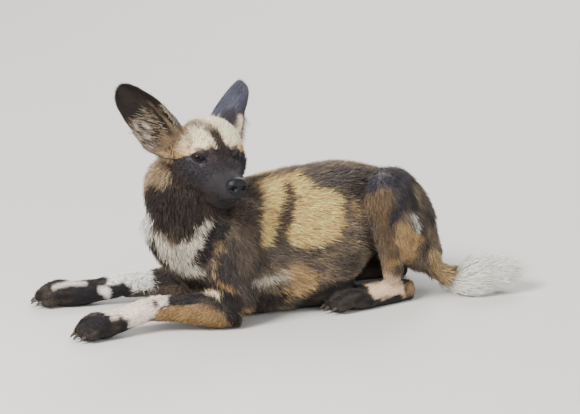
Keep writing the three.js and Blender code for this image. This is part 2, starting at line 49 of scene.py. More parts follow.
# Camera. It stands seven metres off on the side of the left flank, 17 degrees above the horizon. Its long
# lens keeps the near and the far side of the animal at one scale.
CAMERA_TARGET = Vector((-0.043, 0.0, 0.139))
CAMERA_RISE = math.radians(17)
CAMERA_DISTANCE = 7.0
CAMERA_LENS = 304


def add_to_scene(name, data):
    """Stands a mesh, a lamp or a camera in the scene."""
    thing = bpy.data.objects.new(name, data)
    collection.objects.link(thing)
    return thing


camera_data = bpy.data.cameras.new("camera")
camera_data.sensor_width = 36
camera_data.lens = CAMERA_LENS
camera_data.clip_end = 50
camera = add_to_scene("camera", camera_data)
camera.location = CAMERA_TARGET + CAMERA_DISTANCE * Vector(
    (0, -math.cos(CAMERA_RISE), math.sin(CAMERA_RISE))
)
camera.rotation_euler = (math.radians(90) - CAMERA_RISE, 0, 0)
bpy.context.scene.camera = camera


# Floor and light. A plain pale floor under a large soft key lamp at the upper left, a weak fill at the right
# and an even grey sky, as in a studio.
def apply(tree, layer, settings):
    """Gives each setting of a layer its value, or feeds it with what another layer puts out."""
    for name, value in settings.items():
        if isinstance(value, bpy.types.NodeSocket):
            tree.links.new(value, layer.inputs[name])
        else:
            layer.inputs[name].default_value = value


def add_layer(tree, kind, settings=()):
    """One more layer in the making of a finish."""
    layer = tree.nodes.new(kind)
    apply(tree, layer, dict(settings))
    return layer


def new_finish(name, settings):
    """A finish, with the tree of layers that makes it and the surface on top of them."""
    finish = bpy.data.materials.new(name)
    finish.use_nodes = True
    tree = finish.node_tree
    surface = tree.nodes["Principled BSDF"]
    apply(tree, surface, settings)
    return finish, tree, surface


FLOOR_REACH = 6.0
FLOOR_CORNERS = ((-1, -1), (1, -1), (1, 1), (-1, 1))
floor_mesh = bpy.data.meshes.new("floor")
floor_points = [(x * FLOOR_REACH, y * FLOOR_REACH, 0) for x, y in FLOOR_CORNERS]
floor_mesh.from_pydata(floor_points, [], [(0, 1, 2, 3)])
floor = add_to_scene("floor", floor_mesh)
paper, _, _ = new_finish("floor", {"Base Color": (0.62, 0.61, 0.59, 1), "Roughness": 0.9})
floor_mesh.materials.append(paper)

sky = bpy.data.worlds.new("sky")
sky.use_nodes = True
apply(sky.node_tree, sky.node_tree.nodes["Background"], {"Color": (0.93, 0.96, 1.0, 1), "Strength": 0.85})
bpy.context.scene.world = sky

LAMPS = (
    # name, place, size in metres, power in watts
    ("key", (-1.6, -1.8, 2.4), 1.1, 220),
    ("fill", (2.2, -1.6, 1.2), 2.0, 34),
    ("back", (0.6, 2.4, 2.0), 1.5, 70),
)
LAMP_AIM = Vector((0, 0, 0.12))
for name, place, size, power in LAMPS:
    lamp_data = bpy.data.lights.new(name, "AREA")
    lamp_data.size = size
    lamp_data.energy = power
    lamp_data.color = (1.0, 0.96, 0.90)
    lamp = add_to_scene(name, lamp_data)
    lamp.location = place
    lamp.rotation_euler = (LAMP_AIM - Vector(place)).to_track_quat("-Z", "Y").to_euler()


# The lie of the coat. The hair of the real animal runs from the nose to the tail and down the legs, and each
# part of the body has its own length of hair and its own markings. Here each part is a zone, a capsule in
# millimetres with the way that its hair lies. The trunk is turned by the yaw; the head has its own frame.
YAW = math.radians(22)
TRUNK = np.array(
    [[math.cos(YAW), math.sin(YAW), 0], [-math.sin(YAW), math.cos(YAW), 0], [0, 0, 1]]
)  # rows: back, right side, up
HEAD_AT = np.array([-158.0, -90.0, 240.0])
HEAD_TURN = np.array(
    Matrix.Rotation(math.radians(-63), 3, "Z")
    @ Matrix.Rotation(math.radians(2), 3, "Y")
    @ Matrix.Rotation(math.radians(-4), 3, "X")
)  # columns: forward, left, up


def on_trunk(back, right, up):
    return np.array([back, right, up], float) @ TRUNK


def on_head(forward, left, up):
    return HEAD_AT + HEAD_TURN @ np.array([forward, left, up], float)


def head_way(forward, left, up):
    return HEAD_TURN @ np.array([forward, left, up], float)


def unit(v):
    v = np.asarray(v, float)
    return v / np.maximum(np.linalg.norm(v, axis=-1, keepdims=True), 1e-9)


BACKWARDS = TRUNK[0]
DOWN = np.array([0.0, 0, -1])
ZONES = {
    # name: start, end, radius, way that the hair lies
    "breast": (on_trunk(-238, 0, 125), on_trunk(-200, 0, 100), 48, BACKWARDS * 0.5 + DOWN * 1.2),
    "trunk": (on_trunk(-170, 0, 110), on_trunk(60, 0, 112), 76, BACKWARDS + DOWN * 0.35),
    "rump": (on_trunk(100, 0, 112), on_trunk(158, 0, 70), 54, BACKWARDS * 0.6 + DOWN),
    "neck": (np.array([-181.0, -78, 120]), np.array([-184.0, -76, 200]), 56, DOWN + BACKWARDS * 0.2),
    "skull": (on_head(-16, 0, 0), on_head(14, 0, 0), 47, head_way(-1, 0, 0.1)),
    "muzzle": (on_head(45, 0, -22), on_head(88, 0, -24), 20, head_way(-1, 0, 0)),
    "jaw": (on_head(20, 0, -50), on_head(75, 0, -46), 14, head_way(-1, 0, -0.2)),
    "ear_left": (on_head(-38, 28, 33), on_head(-76, 74, 62), 20, head_way(-52, 78, 51)),
    "ear_right": (on_head(-20, -52, 34), on_head(-46, -100, 74), 20, head_way(-40, -81, 68)),
    "arm_left": (on_trunk(-150, -56, 110), np.array([-114.0, -120, 35]), 40, DOWN + BACKWARDS * 0.3),
    "arm_right": (on_trunk(-150, 56, 110), np.array([-167.0, 12, 35]), 40, DOWN + BACKWARDS * 0.3),
    "forearm_left": (np.array([-114.0, -122, 25]), np.array([-236.0, -146, 33]), 23, (-122, -24, -30)),
    "forearm_right": (np.array([-167.0, 12, 25]), np.array([-278.0, -13, 27]), 22, (-111, -25, -30)),
    "forepaw_left": (np.array([-245.0, -150, 32]), np.array([-335.0, -187, 14]), 20, (-98, -41, -10)),
    "forepaw_right": (np.array([-287.0, -15, 25]), np.array([-400.0, -30, 12]), 20, (-120, -16, -10)),
    "thigh_left": (np.array([138.0, 24, 84]), np.array([92.0, -44, 184]), 38, (50, 30, -150)),
    "thigh_right": (on_trunk(138, 30, 84), on_trunk(86, 82, 100), 34, BACKWARDS + DOWN * 0.6),
    "shank_left": (np.array([94.0, -42, 165]), np.array([106.0, -14, 45]), 20, (12, 26, -120)),
    "shank_right": (on_trunk(92, 78, 90), on_trunk(130, 66, 34), 20, BACKWARDS + DOWN),
    "hindpaw_left": (np.array([130.0, 2, 16]), np.array([16.0, -58, 14]), 20, (-110, -52, 0)),
    "hindpaw_right": (on_trunk(158, 60, 16), on_trunk(32, 79, 14), 20, -BACKWARDS),
    "tail": (np.array([140.0, 52, 56]), np.array([204.0, 38, 24]), 18, (60, -14, -25)),
    "brush": (np.array([204.0, 38, 24]), np.array([282.0, 41, 30]), 20, (80, 4, 8)),
}
ZONE_NAMES = list(ZONES)
FLOWS = unit(np.array([np.asarray(zone[3], float) for zone in ZONES.values()]))


def zone_weights(places, sharpness=5.0):
    """How much each zone owns each place (in mm): rows that add up to one."""
    reach = np.empty((len(places), len(ZONES)))
    for k, (start, end, radius, _) in enumerate(ZONES.values()):
        line = end - start
        share = np.clip(((places - start) @ line) / (line @ line), 0, 1)
        reach[:, k] = np.linalg.norm(places - start - share[:, None] * line, axis=1) - radius
    reach -= reach.min(axis=1, keepdims=True)
    weights = np.exp(-reach / sharpness)
    return weights / weights.sum(axis=1, keepdims=True)


def owned_by(weights, *zones):
    """The share of each place that the named zones own together."""
    return weights[:, [ZONE_NAMES.index(zone) for zone in zones]].sum(axis=1)[:, None]


def by_zone(values, rest=None):
    """One row for each zone, from a table whose names are zones or the starts of their names."""
    return [next((v for k, v in values.items() if name.startswith(k)), rest) for name in ZONE_NAMES]


# Large primes that mix the number of a cell into an even spread of values.
CELL_PRIMES = np.array([73856093, 19349663, 83492791])
SEED_PRIME = 2654435761
MIX_PRIME = 1274126177


def noise(places, scale, seed, octaves=2):
    """Smooth value noise between -1 and 1, with blobs about scale mm wide."""
    total = np.zeros(len(places))
    size, weight = scale, 1.0
    for octave in range(octaves):
        cell = places / size + 17.3 * (seed + octave)
        low = np.floor(cell).astype(np.int64)
        part = cell - low
        part = part * part * (3 - 2 * part)
        value = np.zeros(len(places))
        for corner in range(8):
            offset = np.array([corner & 1, corner >> 1 & 1, corner >> 2 & 1])
            mixed = np.bitwise_xor.reduce((low + offset) * CELL_PRIMES, axis=1) ^ (seed * SEED_PRIME)
            mixed = (mixed ^ (mixed >> 13)) * MIX_PRIME & 0x7FFFFFFF
            here = (mixed ^ (mixed >> 16)) % 65536 / 32767.5 - 1
            value += here * np.prod(np.where(offset, part, 1 - part), axis=1)
        total += weight * value
        size, weight = size / 2.1, weight * 0.5
    return total / 1.4


# The skin. The hide of the real animal is one surface without a seam over trunk, legs and tail. Here the
# solids of the flesh are joined, the joins between them are smoothed away, and the whole is drawn in by the
# depth of the coat that stands on it.
FLESH = ["torso", "neck", "head", "lower_jaw", "tail"]
for limb in ("upper_arm", "forearm", "forepaw", "thigh", "shank", "hindpaw"):
    FLESH += [f"{limb}_left", f"{limb}_right"]
VOXEL = 0.0030
JOIN_SWELL = 0.0005  # closes the narrow gaps between the solids
soup = bmesh.new()
for name in FLESH + ["eye_left", "eye_right"]:
    single = bmesh.new()
    single.from_mesh(NODES[name].data)
    bmesh.ops.remove_doubles(single, verts=single.verts, dist=1e-5)
    single.normal_update()
    for v in single.verts:
        v.co += v.normal * JOIN_SWELL
    swollen = bpy.data.meshes.new("swollen")
    single.to_mesh(swollen)
    soup.from_mesh(swollen)
    bpy.data.meshes.remove(swollen)
    single.free()
# The tail goes on inside the brush and thins to its tip.
TAIL_TIP = (
    # x, y, z, radius
    (196, 39, 24, 17),
    (210, 37, 24, 15),
    (224, 36, 24.5, 13),
    (238, 36, 26, 11),
    (251, 37, 27, 8.5),
    (262, 38, 28, 6.5),
)
for x, y, z, radius in TAIL_TIP:
    bmesh.ops.create_icosphere(
        soup, subdivisions=2, radius=radius * MM, matrix=Matrix.Translation((x * MM, y * MM, z * MM))
    )
soup_mesh = bpy.data.meshes.new("soup")
soup.to_mesh(soup_mesh)
soup.free()
soup_object = add_to_scene("soup", soup_mesh)
remesh = soup_object.modifiers.new("join", "REMESH")
remesh.mode = "VOXEL"
remesh.voxel_size = VOXEL
skin_mesh = bpy.data.meshes.new_from_object(
    soup_object.evaluated_get(bpy.context.evaluated_depsgraph_get())
)
bpy.data.objects.remove(soup_object)


def rows_of(items, field, width, kind=float):
    """One field of all the points, edges or faces of a mesh, as rows."""
    flat = np.empty(len(items) * width, kind)
    items.foreach_get(field, flat)
    return flat.reshape(-1, width)


def read_points(mesh):
    return rows_of(mesh.vertices, "co", 3) / MM


def write_points(mesh, places):
    mesh.vertices.foreach_set("co", (places * MM).ravel())
    mesh.update()


def read_normals(mesh):
    return rows_of(mesh.vertices, "normal", 3)


def shade_smooth(mesh):
    mesh.polygons.foreach_set("use_smooth", np.ones(len(mesh.polygons), bool))


PULL_IN, PUSH_BACK = 0.6, -0.58


def smoothed(mesh, places, strength, rounds):
    """Moves each point towards the middle of its neighbours and most of the way back, so nothing shrinks."""
    a, b = rows_of(mesh.edges, "vertices", 2, int).T
    count = np.bincount(np.concatenate([a, b]), minlength=len(places))[:, None]
    for pull in (PULL_IN, PUSH_BACK) * rounds:
        around = np.stack(
            [
                np.bincount(a, places[b, k], len(places)) + np.bincount(b, places[a, k], len(places))
                for k in range(3)
            ],
            axis=1,
        )
        places = places + pull * strength[:, None] * (around / count - places)
    return places


places = read_points(skin_mesh)
weights = zone_weights(places)
# The joins on the trunk and at the tops of the limbs are smoothed most. Paws and head keep their form.
ROUNDED = ("breast", "trunk", "rump", "neck", "arm", "thigh", "shank", "tail", "brush")
softness = weights @ np.array(by_zone(dict.fromkeys(ROUNDED, 1.0), 0.6))
places = smoothed(skin_mesh, places, np.where(softness > 0.8, 1.0, 0.0), 22)
places = smoothed(skin_mesh, places, np.ones(len(places)), 5)
write_points(skin_mesh, places)

# How far the skin lies inside the outline of the solids, in millimetres.
COAT_DEPTH = {
    "breast": 5.5,
    "trunk": 4.5,
    "rump": 4,
    "neck": 6,
    "skull": 2.6,
    "muzzle": 1.0,
    "jaw": 2,
    "ear": 2,
    "arm": 3.5,
    "forearm": 1.8,
    "forepaw": 1.4,
    "thigh": 3.5,
    "shank": 2.2,
    "hindpaw": 1.4,
    "tail": 5.5,
    "brush": 2,
}
depth = weights @ np.array(by_zone(COAT_DEPTH), float)
near_floor = np.clip(places[:, 2] / 12, 0.15, 1)
# The rump narrows towards the tail, and the tail is slim at its root.
RUMP_SLIMMER = 5.0
rear = np.clip((places[:, 0] - 132) / 34, 0, 1) * np.clip((212 - places[:, 0]) / 20, 0, 1)
depth += RUMP_SLIMMER * rear * np.clip((120 - places[:, 2]) / 40, 0, 1)
places = places - read_normals(skin_mesh) * (depth * near_floor)[:, None]
places = smoothed(skin_mesh, places, np.ones(len(places)), 2)
write_points(skin_mesh, places)

# Finer faces on the head, and finer again round the eyes and the nose.
EYES = {
    # middle of the ball and the way it looks, in the frame of the head
    "left": (np.array([24.0, 27.5, 8]), unit([0.82, 0.56, 0.06])),
    "right": (np.array([24.0, -27.5, 8]), unit([0.82, -0.56, 0.06])),
}
FACE_MIDDLE = on_head(30, 0, -12)
fine = bmesh.new()
fine.from_mesh(skin_mesh)
for spots in (
    [(FACE_MIDDLE, 68)],
    [(on_head(*EYES["left"][0]), 17), (on_head(*EYES["right"][0]), 17), (on_head(88, 0, -22), 20)],
):
    chosen = [
        e
        for e in fine.edges
        if any(
            all((v.co / MM - Vector(middle)).length < radius for v in e.verts) for middle, radius in spots
        )
    ]
    bmesh.ops.subdivide_edges(fine, edges=chosen, cuts=1, use_grid_fill=True)
bmesh.ops.triangulate(fine, faces=[f for f in fine.faces if len(f.verts) > 4])
fine.to_mesh(skin_mesh)
fine.free()
places = read_points(skin_mesh)
head_near = np.linalg.norm(places - FACE_MIDDLE, axis=1) < 72
places = smoothed(skin_mesh, places, np.where(head_near, 0.8, 0.0), 2)


# The face. The lids of the real animal close over the ball of the eye and leave an almond opening, the
# muzzle is pinched before the eyes, and the lips meet in a line that runs back to below the eye. All of it is
# bone under skin, so it is modelled into the skin.
def in_head(places):
    return (places - HEAD_AT) @ HEAD_TURN


def push(places, local, middle, way, reach):
    """Moves the places near a middle by way, all in the frame of the head, fading out over the reach."""
    near = np.exp(-(((local - np.array(middle)) / np.array(reach)) ** 2).sum(axis=1))
    return places + near[:, None] * head_way(*way)


# The ball of the eye, the thickness of the lids, and half the length and height of the opening.
EYE_RADIUS = 9.2
LID = 1.5
ALMOND = (8.2, 4.2)
ALMOND_SLANT = 0.09
UPPER_LID, LOWER_LID = 1.05, 0.85


def almond(local, side):
    """Signed distance (mm) outside the opening of the lids, and how far the place is ahead of the eye."""
    middle, gaze = EYES[side]
    outward = unit(np.cross([0, 0, 1], gaze)) * (1 if side == "left" else -1)
    above = np.array([0.0, 0, 1]) - gaze * gaze[2]
    away = local - middle
    far = np.linalg.norm(away, axis=1)
    ball = away / far[:, None] * EYE_RADIUS
    across, over, ahead = ball @ outward, ball @ unit(above), away @ gaze
    over = over - ALMOND_SLANT * across
    lid_line = ALMOND[1] * np.clip(1 - (across / ALMOND[0]) ** 2, 0, 1) ** 0.75
    lid_line = lid_line * np.where(over > 0, UPPER_LID, LOWER_LID)
    sideways = np.abs(across) - ALMOND[0]
    outside = np.where(sideways > 0, np.hypot(sideways, over), np.abs(over) - lid_line)
    return outside, ahead, far, away


FACE_FORMS = (
    # middle, way and reach on the left side, which the right side mirrors
    ((38, 15, 10), (-1.5, -1.2, -1.0), (9, 7, 9)),  # the hollow before the eye
    ((22, 24, 24), (1.2, 0, 2.0), (9, 11, 6)),  # the brow
    ((30, 34, -9), (0.6, 1.2, 0), (12, 8, 6)),  # the cheek bone
    ((60, 20, -6), (0, -1.5, 0), (16, 8, 7)),  # the pinch of the muzzle
)
FOREHEAD_FURROW = ((30, 0, 24), (0, 0, -1.6), (16, 5, 9))
MIRROR = np.array([1, -1, 1])
local = in_head(places)
for middle, way, reach in FACE_FORMS:
    places = push(places, local, middle, way, reach)
    places = push(places, local, middle * MIRROR, way * MIRROR, reach)
places = push(places, local, *FOREHEAD_FURROW)

# The line of the mouth, from under the nose back to below the eye.
MOUTH = np.array(
    [(96, 0, -34), (88, 11, -38), (74, 17.5, -42), (58, 20, -44), (44, 23, -44), (34, 26, -42)], float
)
MOUTH_WIDE, MOUTH_DEEP = 2.0, 3.0


def from_mouth(local):
    """Distance (mm) from the line of the mouth, on either side of the head."""
    near_side = np.abs(local) * (0, 1, 0) + local * (1, 0, 1)
    nearest = np.full(len(local), 99.0)
    for start, end in zip(MOUTH[:-1], MOUTH[1:]):
        line = end - start
        share = np.clip(((near_side - start) @ line) / (line @ line), 0, 1)
        nearest = np.minimum(nearest, np.linalg.norm(near_side - start - share[:, None] * line, axis=1))
    return nearest


local = in_head(places)
groove = MOUTH_DEEP * np.exp(-((from_mouth(local) / MOUTH_WIDE) ** 2))
inwards = unit(local * (0, -1, 0) + (-1.0, 0, 0))
places = places + (groove[:, None] * inwards) @ HEAD_TURN.T

# The lids stand off the ball by their thickness, dip into the opening, and have a fold above it.
local = in_head(places)
for side in EYES:
    outside, ahead, far, away = almond(local, side)
    close = (ahead > 0) & (far < 18)
    hold = np.clip((9 - outside) / 7, 0, 1) * close
    target = np.where(
        outside < 0,
        np.maximum(EYE_RADIUS + 0.4 + outside * 3.0, EYE_RADIUS - 2.0),
        EYE_RADIUS + LID - 0.7 * np.exp(-outside / 0.7) + np.clip(outside, 0, 9) * 0.10,
    )
    fold = 0.7 * np.exp(-(((outside - 3.4) / 0.9) ** 2)) * (away[:, 2] > 0)
    radius = far + hold * (target - fold - far)
    radius = np.where((outside < 0) & close, target, radius)
    moved = EYES[side][0] + away / far[:, None] * radius[:, None]
    places = HEAD_AT + moved @ HEAD_TURN.T
    local = in_head(places)
write_points(skin_mesh, places)
skin = add_to_scene("skin", skin_mesh)


# The ears. Each is a tall round cup of gristle with thin skin over it: folded round at the root, open above,
# thin at the rim, and ridged inside. It is lofted by itself, joined to the skull and blended into it.
EAR_LENGTH = 112.0
EARS = {
    # root, way it stands and way it opens, in the frame of the head
    "right": ((-16, -40, 24), (-40, -81, 68), (0.7, -0.7, 0)),
    "left": ((-38, 11, 20), (-52, 78, 51), (-0.38, 0.92, 0)),
}
EAR_PROFILE = np.array(
    [
        # height as a share of the length, half width
        (-0.12, 18.2),
        (0.06, 25),
        (0.26, 32.2),
        (0.45, 32.8),
        (0.66, 29),
        (0.84, 23),
        (0.93, 17.5),
        (0.975, 12),
        (1.0, 6),
    ],
    float,
)
EAR_ROWS, EAR_COLUMNS = 44, 34
EAR_BEND = (125, 62)  # degrees to each side of the middle, at the root and where the cup is open
EAR_OPEN_FROM = 0.55
EAR_ROOT_AT = -0.12
EAR_LEAN = 10
EAR_THICK = 2.4
RIM_SHARE, TIP_SHARE = 0.10, 0.07


def ear_frame(side):
    base, stand, opening = EARS[side]
    base = on_head(*base)
    stand = unit(head_way(*stand))
    opening = head_way(*opening)
    opening = unit(opening - stand * (opening @ stand))
    return base, stand, opening, np.cross(stand, opening)


def ear_points(side, height, column, inset):
    """Places on the cup: height from 0 to 1, column from -1 at the front rim to 1 at the back rim."""
    base, stand, opening, across = ear_frame(side)
    width = np.interp(height, EAR_PROFILE[:, 0], EAR_PROFILE[:, 1])
    bend = np.radians(np.interp(height, [0, EAR_OPEN_FROM], EAR_BEND))
    radius = width / np.sin(np.minimum(bend, math.pi / 2))
    turn = bend * column
    reach = radius - inset
    flare = -EAR_LEAN * np.sin(np.clip(height, 0, 1) * math.pi / 2)
    out = radius - reach * np.cos(turn) + flare
    return (
        base
        + stand * (EAR_LENGTH * height)[..., None]
        + opening * out[..., None]
        + across * (reach * np.sin(turn))[..., None]
    )


for side in EARS:
    height, column = np.meshgrid(
        np.linspace(EAR_ROOT_AT, 1, EAR_ROWS + 1), np.linspace(-1, 1, EAR_COLUMNS + 1), indexing="ij"
    )
    rim = 1 - np.clip((1 - np.abs(column)) / RIM_SHARE, 0, 1) ** 2
    tip = np.clip((height - 1 + TIP_SHARE) / TIP_SHARE, 0, 1)
    thick = EAR_THICK * (1 - 0.45 * np.clip(height, 0, 1)) * (1 - 0.55 * np.maximum(rim, tip))
    outer = ear_points(side, height, column, np.zeros_like(height) + 0.6)
    inner = ear_points(side, height, column, thick + 0.6)
    ridges = 0.5 * np.cos(column * 9) * np.clip(0.6 - height, 0, 1)
    inner = inner + ear_frame(side)[2] * ridges[..., None]
    grid = np.arange(height.size).reshape(height.shape)
    back = height.size
    quads = (grid[:-1, :-1], grid[1:, :-1], grid[1:, 1:], grid[:-1, 1:])
    faces = []
    for a, b, c, d in zip(*(corner.ravel() for corner in quads)):
        faces.append((a, b, c, d))
        faces.append((a + back, d + back, c + back, b + back))
    edge = list(grid[0, :-1]) + list(grid[:-1, -1]) + list(grid[-1, :0:-1]) + list(grid[:0:-1, 0])
    for a, b in zip(edge, edge[1:] + edge[:1]):
        faces.append((a, b, b + back, a + back))
    ear_mesh = bpy.data.meshes.new("ear")
    ear_places = np.concatenate([outer.reshape(-1, 3), inner.reshape(-1, 3)])
    ear_mesh.from_pydata((ear_places * MM).tolist(), [], faces)
    ear_object = add_to_scene("ear", ear_mesh)
    fix = bmesh.new()
    fix.from_mesh(ear_mesh)
    bmesh.ops.recalc_face_normals(fix, faces=fix.faces)
    fix.to_mesh(ear_mesh)
    fix.free()
    union = skin.modifiers.new("join", "BOOLEAN")
    union.operation = "UNION"
    union.solver = "MANIFOLD"
    union.object = ear_object
    joined_mesh = bpy.data.meshes.new_from_object(skin.evaluated_get(bpy.context.evaluated_depsgraph_get()))
    skin.modifiers.clear()
    skin.data = joined_mesh
    bpy.data.objects.remove(ear_object)
skin_mesh = skin.data
skin_mesh.name = "skin"
places = read_points(skin_mesh)
blend_in = np.zeros(len(places))
for side in EARS:
    base, stand, opening, across = ear_frame(side)
    up_ear = (places - base) @ stand
    away = np.linalg.norm(places - base - up_ear[:, None] * stand, axis=1)
    blend_in = np.maximum(blend_in, np.clip(1 - np.abs(up_ear - 4) / 20, 0, 1) * (away < 42))
places = smoothed(skin_mesh, places, np.clip(blend_in * 1.6, 0, 1), 5)
write_points(skin_mesh, places)


# The markings. The coat of the real animal is a patchwork of black, gold and white, and no two animals share
# one. Each patch has a ragged edge and is placed in millimetres: on the near side across and up the view of
# the camera, on the far flank back along the trunk and up.
def srgb(r, g, b):
    value = np.array([r, g, b], float) / 255
    return np.where(value < 0.04045, value / 12.92, ((value + 0.055) / 1.055) ** 2.4)


CREAM = srgb(252, 214, 142)
WHITE = srgb(253, 250, 243)
GOLD = srgb(194, 162, 116)
GREY_BROWN = srgb(130, 116, 104)
BROWN = srgb(92, 76, 65)
DARK = srgb(62, 52, 50)
BLACK = srgb(38, 35, 39)
# For each zone its ground colour, and how strongly tan streaks break it up.
ZONE_COLOURS = {
    "breast": (srgb(84, 68, 58), 0.2),
    "trunk": (srgb(108, 97, 89), 0.5),
    "rump": (GREY_BROWN, 0.5),
    "neck": (srgb(70, 56, 48), 0.22),
    "skull": (srgb(206, 170, 120), 0.0),
    "muzzle": (srgb(44, 40, 44), 0.0),
    "jaw": (srgb(48, 41, 41), 0.0),
    "ear": (srgb(52, 44, 44), 0.0),
    "arm_left": (srgb(68, 63, 65), 0.3),
    "arm_right": (DARK, 0.2),
    "forearm_left": (srgb(92, 80, 72), 0.4),
    "forearm_right": (srgb(98, 86, 76), 0.3),
    "forepaw_left": (srgb(33, 30, 33), 0.1),
    "forepaw_right": (srgb(33, 30, 33), 0.1),
    "thigh_left": (srgb(80, 73, 71), 0.5),
    "thigh_right": (GREY_BROWN, 0.5),
    "shank_left": (srgb(120, 100, 80), 0.6),
    "shank_right": (BROWN, 0.3),
    "hindpaw_left": (srgb(38, 35, 38), 0.1),
    # the far hind foot lies under the belly, and its dark ground stands for the shade there: painted shade
    "hindpaw_right": (srgb(60, 51, 48), 0.2),
    "tail": (srgb(214, 184, 132), 0.15),
    "brush": (WHITE, 0.0),
}
BODY = ("trunk", "rump", "breast", "neck", "arm_left")
NEAR_FORELEG = ("arm_left", "forearm_left", "forepaw_left")
FAR_FORELEG = ("arm_right", "forearm_right", "forepaw_right")
NEAR_HINDLEG = ("thigh_left", "shank_left", "hindpaw_left", "rump")
